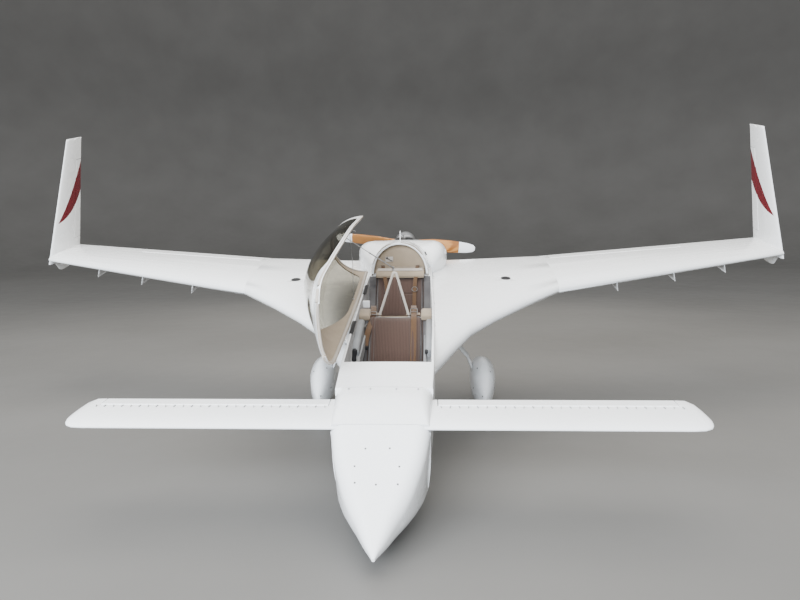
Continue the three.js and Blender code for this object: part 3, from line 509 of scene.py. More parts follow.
def dial_face():
    """Matt black of the instruments' faces, faintly dusty."""
    made = Finish("dial_face")
    return made.shade({
        "Base Color": made.clouded(25, 4, (0.008, 0.008, 0.009), (0.02, 0.02, 0.022)),
        "Roughness": made.uneven(40, 3, 0.25, 0.4),
        "Coat Weight": 0.6,
    })


def joint_grey_and_tab_shade():
    """The soft grey of panel gaps; on the vortex tabs the grey is painted shade, standing in for the shadows
    by which the white tabs show.
    """
    made = Finish("joint_grey_and_tab_shade")
    return made.shade({
        "Base Color": made.clouded(40, 3, (0.28, 0.285, 0.29), (0.36, 0.365, 0.37)),
        "Roughness": made.uneven(30, 3, 0.6, 0.85),
    })


def pale_floor():
    """Smooth pale studio floor with a trace of cloudiness."""
    made = Finish("pale_floor")
    return made.shade({
        "Base Color": made.clouded(0.35, 4, (0.125, 0.123, 0.119), (0.147, 0.145, 0.141)),
        "Roughness": made.uneven(2.5, 4, 0.42, 0.6),
    })


FINISHES = {}


def finish(maker):
    """The material that a finish function makes, made once."""
    if maker.__name__ not in FINISHES:
        FINISHES[maker.__name__] = maker()
    return FINISHES[maker.__name__]


# Shapes


def linked(name, mesh):
    made = bpy.data.objects.new(name, mesh)
    bpy.context.scene.collection.objects.link(made)
    return made


def smoothed(mesh, angle):
    """Shades a mesh smooth, with the edges that are sharper than the angle kept."""
    mesh.shade_smooth()
    mesh.set_sharp_from_angle(angle=math.radians(angle))


def settled(mesh, angle):
    """Merges doubles, turns faces outward, and shades smooth with edges sharper than the angle kept."""
    work = bmesh.new()
    work.from_mesh(mesh)
    bmesh.ops.remove_doubles(work, verts=work.verts, dist=1e-5)
    bmesh.ops.recalc_face_normals(work, faces=work.faces)
    work.to_mesh(mesh)
    work.free()
    smoothed(mesh, angle)
    return mesh


def applied(obj):
    """Turns an object's modifiers into its mesh."""
    graph = bpy.context.evaluated_depsgraph_get()
    baked = bpy.data.meshes.new_from_object(obj.evaluated_get(graph))
    obj.modifiers.clear()
    obj.data = baked


def carried(obj, body, slot, replaces=()):
    """Lets a finished piece ride on its body, in place of the named nodes."""
    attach(obj, body)
    if replaces:
        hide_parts(*replaces)


def turns(count):
    """Angles evenly round a circle."""
    return span(0, 2 * math.pi, count + 1)[:-1]


def headings(places):
    """The direction of a path at each of its places."""
    ahead = places[1:] + places[-1:]
    behind = places[:1] + places[:-1]
    return [(b - a).normalized() for a, b in zip(behind, ahead)]


def walls(rows, count, closed=True):
    """The faces between rows of points, one row after the other."""
    around = count if closed else count - 1
    return [
        (i * count + j, i * count + (j + 1) % count, (i + 1) * count + (j + 1) % count, (i + 1) * count + j)
        for i in range(rows - 1) for j in range(around)
    ]


def caps(rows, count):
    """The two faces that close the first and the last row."""
    last = (rows - 1) * count
    return [tuple(reversed(range(count))), tuple(range(last, last + count))]


class Shape:
    """Points and faces of one piece, with a map in metres where it is webbing."""

    def __init__(self, place=PARKED):
        self.place = place
        self.points = []
        self.faces = []
        self.maps = {}

    def add(self, points, faces, maps=None):
        start = len(self.points)
        self.points += [self.place @ Vector(p) for p in points]
        for row, face in enumerate(faces):
            if maps:
                self.maps[len(self.faces)] = maps[row]
            self.faces.append([start + i for i in face])

    def loft(self, rings, ends=True, closed=True):
        count = len(rings[0])
        faces = walls(len(rings), count, closed)
        if ends and closed:
            faces += caps(len(rings), count)
        self.add([p for ring in rings for p in ring], faces)

    def tube(self, path, radius, sides, flat=1.0):
        """A bar along a path; radius is one number or one for each place, and flat squeezes its depth."""
        places = [Vector(p) for p in path]
        sizes = radius if isinstance(radius, list) else [radius] * len(places)
        rings = []
        for place, along, size in zip(places, headings(places), sizes):
            across = Vector((0, 1, 0) if abs(along.y) < 0.9 else (1, 0, 0))
            across = (across - along * across.dot(along)).normalized()
            up = along.cross(across)
            rings.append([
                place + across * (size * math.cos(a)) + up * (size * flat * math.sin(a))
                for a in turns(sides)
            ])
        self.loft(rings)

    def box(self, low, high):
        (x0, y0, z0), (x1, y1, z1) = low, high
        points = [(x, y, z) for z in (z0, z1) for x, y in ((x0, y0), (x1, y0), (x1, y1), (x0, y1))]
        self.add(points, caps(2, 4) + walls(2, 4))

    def lathe(self, profile, centre, axis, sides):
        """A profile of (radius, distance along the axis) turned about an axis through the centre."""
        along = Vector(axis).normalized()
        across = along.orthogonal().normalized()
        up = along.cross(across)
        self.loft([
            [
                Vector(centre) + along * far + (across * math.cos(a) + up * math.sin(a)) * max(radius, 1e-4)
                for a in turns(sides)
            ]
            for radius, far in profile
        ])

    def strap(self, path, across, width, thick):
        """Webbing along a path, its width in the across direction, mapped in metres."""
        places = [Vector(p) for p in path]
        half = thick / 2
        section = [
            (-1, -half * 0.3), (-0.96, half), (0.96, half), (1, -half * 0.3), (0.96, -half), (-0.96, -half)]
        rings = []
        far = [0.0]
        for i, (place, along) in enumerate(zip(places, headings(places))):
            wide = (Vector(across) - along * Vector(across).dot(along)).normalized()
            face = along.cross(wide)
            rings.append([place + wide * (u * width / 2) + face * v for u, v in section])
            if i:
                far.append(far[-1] + (place - places[i - 1]).length * INCH)
        edges = [u * width / 2 * INCH for u, _ in section]
        maps = [
            [(a, far[i]), (b, far[i]), (b, far[i + 1]), (a, far[i + 1])]
            for i in range(len(rings) - 1) for a, b in zip(edges, edges[1:] + edges[:1])
        ]
        count = len(section)
        maps += [[(0, 0)] * count] * 2
        faces = walls(len(rings), count) + caps(len(rings), count)
        self.add([p for ring in rings for p in ring], faces, maps)

    def mesh(self, name, finishes):
        made = bpy.data.meshes.new(name)
        made.from_pydata(self.points, [], self.faces)
        for maker in finishes:
            made.materials.append(finish(maker))
        if self.maps:
            layer = made.uv_layers.new(name="cloth")
            for polygon in made.polygons:
                for corner, place in zip(polygon.loop_indices, self.maps.get(polygon.index, [])):
                    layer.data[corner].uv = place
        return made

    def piece(self, name, body, slot, finishes, replaces=(), angle=35, bevel=0.0):
        """Finishes the shape as a piece that rides on a body."""
        obj = linked(name, settled(self.mesh(name, finishes), angle))
        if bevel:
            edge = obj.modifiers.new("edge", "BEVEL")
            edge.width = bevel
            edge.segments = 2
            edge.limit_method = "ANGLE"
            applied(obj)
            smoothed(obj.data, angle)
        carried(obj, body, slot, replaces)


def body_of(node):
    """The body that a node of the frame rides on."""
    return next(body for body, nodes in frame["record"]["behaviour"]["bodies"].items() if node in nodes)


def sliced(mesh, places, normal):
    """Cuts new edges into a mesh along planes through stations, so that it can bend."""
    work = bmesh.new()
    work.from_mesh(mesh)
    facing = (PARKED.to_3x3() @ Vector(normal)).normalized()
    for place in places:
        bmesh.ops.bisect_plane(
            work, geom=work.verts[:] + work.edges[:] + work.faces[:], dist=1e-6,
            plane_co=PARKED @ Vector(place), plane_no=facing)
    work.to_mesh(mesh)
    work.free()


# Where a skin that is bent gets new edges: waterlines and fuselage stations of the hull's front
BEND_WATERLINES = span(1, 13, 9)
BEND_STATIONS = span(16, 48, 15)


def skin_over(node, slot, finishes, pick=None, shift=None):
    """A smooth-shaded skin in a node's shape; pick gives a face's finish number, shift moves its stations."""
    mesh = frame["nodes"][node].data.copy()
    mesh.name = "skin_" + node
    mesh.materials.clear()
    for maker in finishes:
        mesh.materials.append(finish(maker))
    mesh.polygons.foreach_set("material_index", [0] * len(mesh.polygons))
    if shift:
        sliced(mesh, [(0, 0, wl) for wl in BEND_WATERLINES], (0, 0, 1))
        sliced(mesh, [(0, fs, 0) for fs in BEND_STATIONS], (0, 1, 0))
    settled(mesh, 32)
    back = PARKED.inverted()
    if pick:
        turn = back.to_3x3()
        for polygon in mesh.polygons:
            polygon.material_index = pick(back @ polygon.center, (turn @ polygon.normal).normalized())
    if shift:
        for vertex in mesh.vertices:
            vertex.co = PARKED @ shift(back @ vertex.co)
    obj = linked("skin_" + node, mesh)
    even = obj.modifiers.new("even", "WEIGHTED_NORMAL")
    even.keep_sharp = True
    applied(obj)
    carried(obj, body_of(node), slot, [node])


# Geometry Nodes for what repeats


def point_tree(name, sizes, build):
    """A tree that puts what build makes on each point, turned by the point's facing and along vectors."""
    tree = bpy.data.node_groups.new(name, "GeometryNodeTree")
    face = tree.interface
    face.new_socket("Geometry", in_out="INPUT", socket_type="NodeSocketGeometry")
    for label, default in sizes.items():
        face.new_socket(label, in_out="INPUT", socket_type="NodeSocketFloat").default_value = default
    face.new_socket("Finish", in_out="INPUT", socket_type="NodeSocketMaterial")
    face.new_socket("Geometry", in_out="OUTPUT", socket_type="NodeSocketGeometry")
    enter = tree.nodes.new("NodeGroupInput")
    leave = tree.nodes.new("NodeGroupOutput")

    def add(kind, inputs=None, **options):
        return added(tree, kind, inputs, **options)

    facing = add("GeometryNodeInputNamedAttribute", {"Name": "facing"}, data_type="FLOAT_VECTOR")
    along = add("GeometryNodeInputNamedAttribute", {"Name": "along"}, data_type="FLOAT_VECTOR")
    upright = add("FunctionNodeAlignRotationToVector", {"Vector": facing.outputs[0]}, axis="Z")
    turned = add("FunctionNodeAlignRotationToVector", {
        "Rotation": upright.outputs[0],
        "Vector": along.outputs[0],
    }, axis="X", pivot_axis="Z")
    placed = add("GeometryNodeInstanceOnPoints", {
        "Points": enter.outputs["Geometry"],
        "Instance": build(add, enter),
        "Rotation": turned.outputs[0],
    })
    real = add("GeometryNodeRealizeInstances", {"Geometry": placed.outputs[0]})
    dressed = add("GeometryNodeSetMaterial", {
        "Geometry": real.outputs[0],
        "Material": enter.outputs["Finish"],
    })
    tree.links.new(dressed.outputs[0], leave.inputs[0])
    return tree


def scattered(name, tree, points, sizes, maker, slot):
    """Runs a point tree over (place, facing, along) rows in the frame's metres, and keeps the plain mesh."""
    mesh = bpy.data.meshes.new(name)
    mesh.from_pydata([row[0] for row in points], [], [])
    for label, column in (("facing", 1), ("along", 2)):
        values = mesh.attributes.new(label, "FLOAT_VECTOR", "POINT")
        values.data.foreach_set("vector", [c for row in points for c in row[column]])
    obj = linked(name, mesh)
    modifier = obj.modifiers.new("repeat", "NODES")
    modifier.node_group = tree
    sockets = {s.name: s.identifier for s in tree.interface.items_tree if s.in_out == "INPUT"}
    for label, value in sizes.items():
        modifier[sockets[label]] = value
    modifier[sockets["Finish"]] = finish(maker)
    applied(obj)
    if not obj.data.polygons:
        raise RuntimeError(name + " came out empty")
    smoothed(obj.data, 40)
    carried(obj, "airframe", slot)


SCREW_SIDES = 14


def screw_head(add, enter):
    """A flat head with a sloping rim on top of it."""
    radius, height = enter.outputs["Radius"], enter.outputs["Height"]
    head = add("GeometryNodeMeshCylinder", {"Vertices": SCREW_SIDES, "Radius": radius, "Depth": height})
    narrow = add("ShaderNodeMath", {0: radius, 1: 0.55}, operation="MULTIPLY")
    top = add("GeometryNodeMeshCone", {
        "Vertices": SCREW_SIDES,
        "Radius Top": narrow.outputs[0],
        "Radius Bottom": radius,
        "Depth": height,
    })
    half = add("ShaderNodeMath", {0: height, 1: 0.5}, operation="MULTIPLY")
    lift = add("ShaderNodeCombineXYZ", {2: half.outputs[0]})
    raised = add("GeometryNodeTransform", {"Geometry": top.outputs[0], "Translation": lift.outputs[0]})
    both = add("GeometryNodeJoinGeometry")
    for part in (head, raised):
        both.id_data.links.new(part.outputs[0], both.inputs[0])
    return both.outputs[0]


def upright_tab(add, enter):
    """A thin plate standing on edge."""
    sizes = [enter.outputs[label] for label in ("Length", "Thickness", "Height")]
    size = add("ShaderNodeCombineXYZ", dict(enumerate(sizes)))
    return add("GeometryNodeMeshCube", {"Size": size.outputs[0]}).outputs[0]


SCREW_SIZES = {"Radius": 0.004, "Height": 0.0012}
TAB_SIZES = {"Length": 0.02, "Thickness": 0.003, "Height": 0.014}
SURFACES = {}


def on_surface(node, start, direction):
    """Where a ray from a station meets a node, as (place, outward direction) in the frame's metres."""
    if node not in SURFACES:
        mesh = frame["nodes"][node].data
        corners = [vertex.co.copy() for vertex in mesh.vertices]
        SURFACES[node] = BVHTree.FromPolygons(corners, [tuple(p.vertices) for p in mesh.polygons])
    heading = (PARKED.to_3x3() @ Vector(direction)).normalized()
    place, normal, _, _ = SURFACES[node].ray_cast(PARKED @ Vector(start), heading)
    if place is None:
        raise RuntimeError(f"no surface of {node} lies from {start} towards {direction}")
    return place, normal if normal.dot(heading) < 0 else -normal


# Section tables


BUBBLE = [
    # fs, half width, height over the rails, fullness (2 is an ellipse)
    (26.7, 7.6, 1.1, 2.2),
    (28, 9.3, 1.7, 2.2),
    (30, 10.6, 2.4, 2.2),
    (33.5, 11.5, 3.5, 2.1),
    (40, 11.8, 5.6, 2.05),
    (46, 11.9, 7.8, 2),
    (52, 12, 9.6, 2),
    (60, 12, 11.6, 1.95),
    (72, 12, 13.2, 1.85),
    (85, 11.8, 13.8, 1.8),
    (97, 11, 13.3, 1.85),
    (107, 10.3, 12.15, 2),
]
CANOPY_BASE = 23.15
CANOPY_WALL = 0.45
GLASS_THICK = 0.2
# On the hinged side the front corner is cut back: this share of the width at the lip, over this length
HINGED_CORNER = {"share": 0.3, "length": 11}
# The pane starts and ends at these stations. Each side has its height over the rail, the length that
# its edge takes to run out to the front, how slowly it starts, and how much of it is a plain round.
# The pane fills this share of its opening, and lies this far under the frame's face.
PANE = {"front": 35.5, "round": 11, "back": 105.6, "back_round": 5, "fit": 0.998, "inset": 0.02}
PANE_SIDES = {
    -1: {"sill": 1.1, "run": 11, "slow": 1, "rounded": 1},
    1: {"sill": 2.0, "run": 37, "slow": 2.3, "rounded": 0.36},
}


def hinged_half(fs):
    """Half width of the canopy's base on the hinged side."""
    near = min(1, max(0, (BUBBLE[0][0] + HINGED_CORNER["length"] - fs) / HINGED_CORNER["length"]))
    return between(BUBBLE, fs)[1] * (1 - HINGED_CORNER["share"] * near ** 1.5)


def bubble_point(fs, share, inset=0.0):
    """A point of the canopy's outer surface: share runs from the left rail, 0, to the right rail, 1."""
    _, half, height, fullness = between(BUBBLE, fs)
    if share > 0.5:
        half = hinged_half(fs)
    angle = math.pi * share
    c, s = math.cos(angle), max(math.sin(angle), 0.0)
    return (
        (half - inset) * math.copysign(abs(c) ** (2 / fullness), c),
        fs,
        CANOPY_BASE + (height - inset) * s ** (2 / fullness),
    )


def pane_reach(fs, side):
    """How far the pane reaches from the crown towards one side, as a share of the arch."""
    _, _, height, fullness = between(BUBBLE, fs)
    shape = PANE_SIDES[side]
    sill = math.asin((shape["sill"] / height) ** (fullness / 2)) / math.pi

    def grown(length, power):
        left = min(1, max(0, (PANE["front"] + length - fs) / length))
        return (1 - left ** 2) ** power

    front = mixed(grown(shape["run"], shape["slow"]), grown(PANE["round"], 0.5), shape["rounded"])
    back = min(1, max(0, (fs - PANE["back"] + PANE["back_round"]) / PANE["back_round"]))
    return (0.5 - sill) * front * (1 - back ** 2) ** 0.5


def pane_stations():
    """Stations along the pane, close together near its ends."""
    first, last = PANE["front"], PANE["back"]
    nose = [first + PANE["round"] * (1 - math.cos(t)) for t in span(0, math.pi / 2, 20)]
    tail = [last - PANE["back_round"] * (1 - math.sin(t)) for t in span(0, math.pi / 2, 12)]
    return nose + span(nose[-1], tail[0], 34)[1:-1] + tail


# Each row is fs, half width, bottom, top, lower corner radius, upper corner radius, crown of the top
NOSE = [
    (-9.4, 0.3, 6.1, 6.8, 0.25, 0.25, 0),
    (-8.4, 0.9, 5.7, 7.7, 0.8, 0.7, 0),
    (-7, 1.8, 5, 8.6, 1.7, 1.4, 0),
    (-5, 2.95, 4.1, 9.8, 2.7, 2, 0),
    (-2.5, 4.35, 3.1, 11.2, 4.1, 2.6, 0),
    (0.5, 6.15, 2.2, 12.9, 5.2, 3, 0),
    (4, 7.85, 1.4, 14.9, 5.4, 3, 0),
    (9, 9.65, 0.8, 17.9, 4.6, 3, 0),
    (13.94, 10.8, 0.5, 20.9, 3.6, 3, 0.05),
]
COVER = [
    (14.0, 10.8, 20, 20.95, 0.05, 3, 0.05),
    (17.5, 11, 20, 22.2, 0.05, 3, 0.15),
    (22, 11.2, 20, 22.9, 0.05, 3, 0.28),
    (26.26, 11.4, 20, 22.97, 0.05, 3, 0.24),
]
FRONT_DECK = [
    (26.34, 11.4, 21.97, 22.88, 0.05, 0.3, 0.18),
    (39.5, 11.84, 21.97, 22.9, 0.05, 0.3, 0.1),
]
# The hull's sides draw in towards its bottom, by this share, ahead of a station and fading behind it
TUCK = {"share": 0.13, "below": 12, "ahead": 24, "fade": 24}


def tucked(place):
    """A station on the hull, drawn in where it is low and far forward."""
    x, fs, z = place
    low = min(1, max(0, (TUCK["below"] - z) / TUCK["below"]))
    near = min(1, max(0, (TUCK["ahead"] + TUCK["fade"] - fs) / TUCK["fade"]))
    return Vector((x * (1 - TUCK["share"] * near * low ** 2), fs, z))


# Each wheel fairing's middle, and how its sides draw in between two waterlines, by this share at the top
PANT_RIDGE = {"bl": 30.4, "from": -15.5, "top": -9.7, "share": 0.45}


def ridged(place):
    """A station on a wheel fairing, drawn in towards the ridge along its top."""
    x, fs, z = place
    up = min(1, max(0, (z - PANT_RIDGE["from"]) / (PANT_RIDGE["top"] - PANT_RIDGE["from"])))
    ridge = math.copysign(PANT_RIDGE["bl"], x)
    return Vector((ridge + (x - ridge) * (1 - PANT_RIDGE["share"] * up ** 2), fs, z))


def round_ring(fs, half, bottom, top, low, high, crown):
    """A round-cornered section across the fuselage at one station, its top crowned."""
    high = min(high, (top - bottom) * 0.94)
    corners = [
        # side, height of the corner's centre, radius
        (1, top - high, high), (-1, top - high, high), (-1, bottom + low, low), (1, bottom + low, low),
    ]
    ring = []
    for k, (side, level, radius) in enumerate(corners):
        for turn in span(k * math.pi / 2, (k + 1) * math.pi / 2, 8):
            ring.append((side * (half - radius) + radius * math.cos(turn), level + radius * math.sin(turn)))
        if k == 0:
            ring += [(x, top) for x in span(half - high, high - half, 13)[1:-1]]

    def crowned(x, z):
        return z + crown * (1 - (x / half) ** 2) if z > bottom + 0.1 else z

    return [tucked((x, fs, crowned(x, z))) for x, z in ring]


LOFTS = [
    # node, its sections, how many are drawn
    ("nose_fairing", NOSE, 48),
    ("canard_cover", COVER, 24),
    ("front_deck", FRONT_DECK, 8),
]


# Operators, one for each piece or group of like pieces


class CanardDressing(bpy.types.PropertyGroup):
    """Sizes and colours that change the aircraft's look."""

    # The paint's slight blue cast is painted light: the cool light on the shaded sides, put into its colour.
    paint: bpy.props.FloatVectorProperty(
        name="Paint", description="Colour of the gloss paint",
        default=(0.82, 0.835, 0.85), subtype="COLOR", min=0, max=1)
    stripe: bpy.props.FloatVectorProperty(
        name="Stripe", description="Colour of the winglet stripes",
        default=(0.135, 0.014, 0.02), subtype="COLOR", min=0, max=1)
    trim: bpy.props.FloatVectorProperty(
        name="Trim", description="Colour of the padded trim",
        default=(0.31, 0.246, 0.178), subtype="COLOR", min=0, max=1)
    upholstery: bpy.props.FloatVectorProperty(
        name="Upholstery", description="Colour of the seats' cloth",
        default=(0.074, 0.045, 0.036), subtype="COLOR", min=0, max=1)
    webbing: bpy.props.FloatVectorProperty(
        name="Webbing", description="Colour of the harness straps",
        default=(0.13, 0.073, 0.039), subtype="COLOR", min=0, max=1)
    tint: bpy.props.FloatVectorProperty(
        name="Canopy tint", description="Colour that the canopy's acrylic lets through",
        default=(0.36, 0.335, 0.27), subtype="COLOR", min=0, max=1)
    screw_radius: bpy.props.FloatProperty(
        name="Screw radius", description="Radius of the fairings' screw heads",
        default=0.0052, min=0.002, max=0.01, unit="LENGTH")
    tab_height: bpy.props.FloatProperty(
        name="Tab height", description="Height of the vortex tabs on the canard",
        default=0.007, min=0.003, max=0.02, unit="LENGTH")
    tab_spacing: bpy.props.FloatProperty(
        name="Tab spacing", description="Distance between the vortex tabs",
        default=0.052, min=0.02, max=0.2, unit="LENGTH")


# How far the cockpit's inside reaches, and the nose wheel's well that stands up in its front
CABIN = {"half": 11.32, "front": 27, "back": 108, "floor": 0.85, "sill": 22.6}
WELL = {"half": 3.3, "top": 6.45, "back": 44.7}


def in_cabin(place, normal):
    """Whether a face of the fuselage's wall looks into the cockpit."""
    bl, fs, wl = abs(place.x), place.y, place.z
    outer = (bl > 8 and normal.x * place.x > 0.1 * bl) or (wl < 3 and normal.z < -0.1)
    well = bl < WELL["half"] and wl < WELL["top"] and fs < WELL["back"]
    along = CABIN["front"] < fs < CABIN["back"]
    across = bl < CABIN["half"] and CABIN["floor"] < wl < CABIN["sill"]
    return along and across and not outer and not well


def in_arch(place, normal):
    """Whether a face of the turtledeck looks inward, to the line along its foot."""
    return normal.dot(Vector((place.x, 0, place.z - 22))) < 0


SKINS = [
    # slot, finish, nodes
    ("white_paint", white_paint, [
        "canard", "cowling_top", "cowling_bottom", "strake_left", "strake_right", "wing_left", "wing_right",
        "gear_leg_left", "gear_leg_right", "nose_gear_leg", "elevator_left", "elevator_right",
        "aileron_left", "aileron_right", "antenna_fin"]),
    ("white_paint", striped_paint, ["winglet_left", "winglet_right", "rudder_left", "rudder_right"]),
    ("black_rubber", black_rubber, ["nose_bumper"]),
    ("bare_metal", cast_metal, ["engine_block"]),
    ("grey_panel", black_and_painted_shade, ["fuel_cap_left", "fuel_cap_right"]),
    ("bare_metal", bare_metal, ["axle_left", "axle_right", "spinner", "rim_left", "rim_right", "nose_rim"]),
    ("beige_trim", pale_grey, ["console_left", "console_right"]),
    ("grey_panel", grey_panel, ["instrument_panel"]),
    ("laminated_wood", laminated_wood, ["propeller"]),
]


class CANARD_OT_skins(bpy.types.Operator):
    """Paint the fuselage and its surfaces, and finish the metal, rubber and wooden parts"""
    bl_idname = "canard.skins"
    bl_label = "Skins"

    def execute(self, context):
        for slot, maker, nodes in SKINS:
            for node in nodes:
                skin_over(node, slot, [maker])
        for side in ("left", "right"):
            skin_over("wheel_pant_" + side, "white_paint", [white_paint], shift=ridged)
        for node, rows, count in LOFTS:
            shape = Shape()
            shape.loft([round_ring(*between(rows, fs)) for fs in span(rows[0][0], rows[-1][0], count)])
            shape.piece("painted_" + node, "airframe", "white_paint", [white_paint], [node], angle=40)
        skin_over("fuselage_tub", "white_paint", [white_paint, cabin_lining], in_cabin, tucked)
        skin_over("turtledeck", "white_paint", [white_paint, beige_trim], in_arch)
        return {"FINISHED"}


class CANARD_OT_canopy(bpy.types.Operator):
    """Make the canopy's bronze pane, its padded frame and its round rails"""
    bl_idname = "canard.canopy"
    bl_label = "Canopy"

    def execute(self, context):
        self.pane()
        self.frame_shell()
        self.rails()
        return {"FINISHED"}

    def pane_point(self, fs, t):
        """A point of the pane, for t from -1 at one of its edges to 1 at the other."""
        reach = pane_reach(fs, -1 if t < 0 else 1) * PANE["fit"]
        return bubble_point(fs, 0.5 + reach * t, PANE["inset"])

    def pane(self):
        shape = Shape(OPENED)
        rings = [[self.pane_point(fs, t) for t in span(-1, 1, 61)] for fs in pane_stations()]
        shape.loft(rings, ends=False, closed=False)
        obj = linked("canopy_pane", settled(shape.mesh("canopy_pane", [smoked_glass]), 60))
        self.thicken(obj, GLASS_THICK)
        carried(obj, "canopy", "smoked_glass", ["canopy_glass"])

    def frame_shell(self):
        """The shell round the pane: painted outside, padded trim inside."""
        shape = Shape(OPENED)
        first, last = BUBBLE[0][0], BUBBLE[-1][0]
        stations = span(first, PANE["front"], 12)[:-1] + pane_stations() + span(PANE["back"], last, 4)[1:]
        for rail, side in ((0.0, -1), (1.0, 1)):
            rings = []
            for fs in stations:
                inside = PANE["front"] < fs < PANE["back"]
                edge = 0.5 + side * (pane_reach(fs, side) if inside else 0.0)
                low, high = min(rail, edge), max(rail, edge)
                rings.append([bubble_point(fs, mixed(low, high, t)) for t in span(0, 1, 15)])
            shape.loft(rings, ends=False, closed=False)
        obj = linked("canopy_shell", settled(shape.mesh("canopy_shell", [white_paint, beige_trim]), 60))
        self.thicken(obj, CANOPY_WALL, 1)
        carried(obj, "canopy", "beige_trim", ["canopy_frame"])

    def thicken(self, obj, thick, inner=0):
        """Gives a wall its thickness inward, away from the arch's outside."""
        centre = OPENED @ Vector((0, 72, CANOPY_BASE + 4))
        outward = sum((p.normal.dot(p.center - centre) > 0) - 0.5 for p in obj.data.polygons)
        if outward < 0:
            obj.data.flip_normals()
        wall = obj.modifiers.new("wall", "SOLIDIFY")
        wall.thickness = thick * INCH
        wall.offset = -1
        wall.material_offset = inner
        wall.material_offset_rim = inner
        applied(obj)
        smoothed(obj.data, 50)

    def rails(self):
        """The rounded rails, the front lip and the back bow that edge the frame."""
        shape = Shape(OPENED)
        stations = span(BUBBLE[0][0] + 0.4, BUBBLE[-1][0] - 0.3, 70)
        for side in (-1, 1):
            reach = {1: lambda fs: between(BUBBLE, fs)[1], -1: hinged_half}[side]
            path = [(side * (reach(fs) - 0.42), fs, CANOPY_BASE + 0.5) for fs in stations]
            shape.tube(path, 0.46, 16)
        for fs, radius in ((BUBBLE[0][0] + 0.42, 0.38), (BUBBLE[-1][0] - 0.42, 0.4)):
            arch = [bubble_point(fs, t, radius) for t in span(0.02, 0.98, 41)]
            shape.tube([(x, y, max(z, CANOPY_BASE + radius + 0.02)) for x, y, z in arch], radius, 12)
        # The rails wear the trim made lighter: painted light on their rounded tops.
        shape.piece("canopy_rails", "canopy", "beige_trim", [trim_with_painted_light], angle=60)


STAY_FOOT = Vector((-0.95, 86.5, 32.6))
STAY_HEAD = Vector((-16.5, 86.5, 43.3))


class CANARD_OT_canopy_fittings(bpy.types.Operator):
    """Add the canopy's bracket, inner rod, stay and hinges"""
    bl_idname = "canard.canopy_fittings"
    bl_label = "Canopy fittings"

    def execute(self, context):
        self.bracket()
        self.stay()
        self.hinges()
        return {"FINISHED"}

    def bracket(self):
        """A padded block on the free rail with its bolts, and the thin rod across to the hinged side."""
        shape = Shape(OPENED)
        shape.box((9.9, 85.3, 24.4), (11.1, 87.7, 26.3))
        # The block wears the trim made lighter: painted light.
        shape.piece("bracket_block", "canopy", "beige_trim", [trim_with_painted_light], angle=30, bevel=0.004)
        metal = Shape(OPENED)
        for fs in (85.8, 87.2):
            bolt = [(0.0, 0.14), (0.3, 0.14), (0.34, 0.05), (0.34, 0.0)]
            metal.lathe(bolt, (9.9, fs, 25.4), (-1, 0, 0), 20)
        metal.tube([(10.4, 86.5, 25.2), (10.2, 86.5, 24.0), (9.6, 86.5, 23.0)], 0.16, 12)
        metal.tube([(9.6, 84.6, 24.6), (0, 82.4, 24.2), (-10.3, 80.0, 24.6)], 0.075, 8)
        knob = [(0.0, 0.0), (0.36, 0.0), (0.36, 0.2), (0.2, 0.34), (0.0, 0.36)]
        metal.lathe(knob, (-10.6, 80, 24.6), (1, 0, 0), 20)
        metal.piece("bracket_metal", "canopy", "bare_metal", [bare_metal], angle=40)

    def stay(self):
        """The stay that holds the canopy open: a slim tube in a wider sleeve, with eyes at its ends."""
        shape = Shape()
        low, high = STAY_FOOT, STAY_HEAD
        way = (high - low).normalized()
        length = (high - low).length
        shape.tube([low + way * 0.3, high - way * 0.3], 0.12, 14)
        shape.tube([low + way * 0.3, low + way * (length * 0.46)], 0.19, 16)
        for share in (0.02, 0.46, 0.97):
            place = low + way * (length * share)
            shape.tube([place, place + way * 0.35], 0.24, 16)
        eye = [(0.14, -0.2), (0.32, -0.2), (0.36, 0), (0.32, 0.2), (0.14, 0.2)]
        for end in (low, high):
            shape.lathe(eye, end, (0, 1, 0), 20)
        body = body_of("canopy_stay")
        shape.piece("stay_rod", body, "bare_metal", [bare_metal], ["canopy_stay"], angle=40)

    def hinges(self):
        """Dark hinge leaves on the right rail, with a row of knuckles each."""
        leaves = Shape()
        knuckles = Shape()
        length = 9
        for start in (57.0, 88.5):
            for i in range(length):
                fs = start + i
                bl = HINGE.x + HINGE_SLOPE * (fs - HINGE.y)
                knuckles.tube([(bl + 0.42, fs + 0.05, 23.0), (bl + 0.44, fs + 0.93, 23.0)], 0.11, 10)
            low = HINGE.x + HINGE_SLOPE * (start - HINGE.y)
            leaves.box((low + 0.3, start, 22.9), (low + 1.5, start + length, 23.04))
        leaves.piece("hinge_leaves", "airframe", "black_rubber", [black_and_painted_shade], angle=30, bevel=0.001)
        knuckles.piece("hinge_knuckles", "airframe", "bare_metal", [cast_metal], angle=40)


SEATS = {
    # foot and head (fs, wl) of the plane that the back lies on, and the run of the cushion
    "front": {"foot": (58.5, 0.9), "head": (79.5, 22), "back": (3.5, 26.4), "cushion": (46.4, 58.0)},
    "rear": {"foot": (88, 0.9), "head": (107, 21), "back": (3.4, 29.4), "cushion": (73.7, 87.2)},
}
SEAT_HALF = 8.3
SEAT_DEPTH = 2.6
CUSHION = {"bottom": 0.95, "top": 3.7}


def seat_axes(seat):
    """Foot of a seat's back, the direction up it, and the direction out of its face."""
    foot_fs, foot_wl = SEATS[seat]["foot"]
    head_fs, head_wl = SEATS[seat]["head"]
    rise = Vector((0, head_fs - foot_fs, head_wl - foot_wl)).normalized()
    return Vector((0, foot_fs, foot_wl)), rise, Vector((0, -rise.z, rise.y))


def on_seat(seat, bl, up, out):
    """A station on a seat's back: up its plane from the foot, and out of its face."""
    foot, rise, face = seat_axes(seat)
    return Vector((bl, 0, 0)) + foot + rise * up + face * out


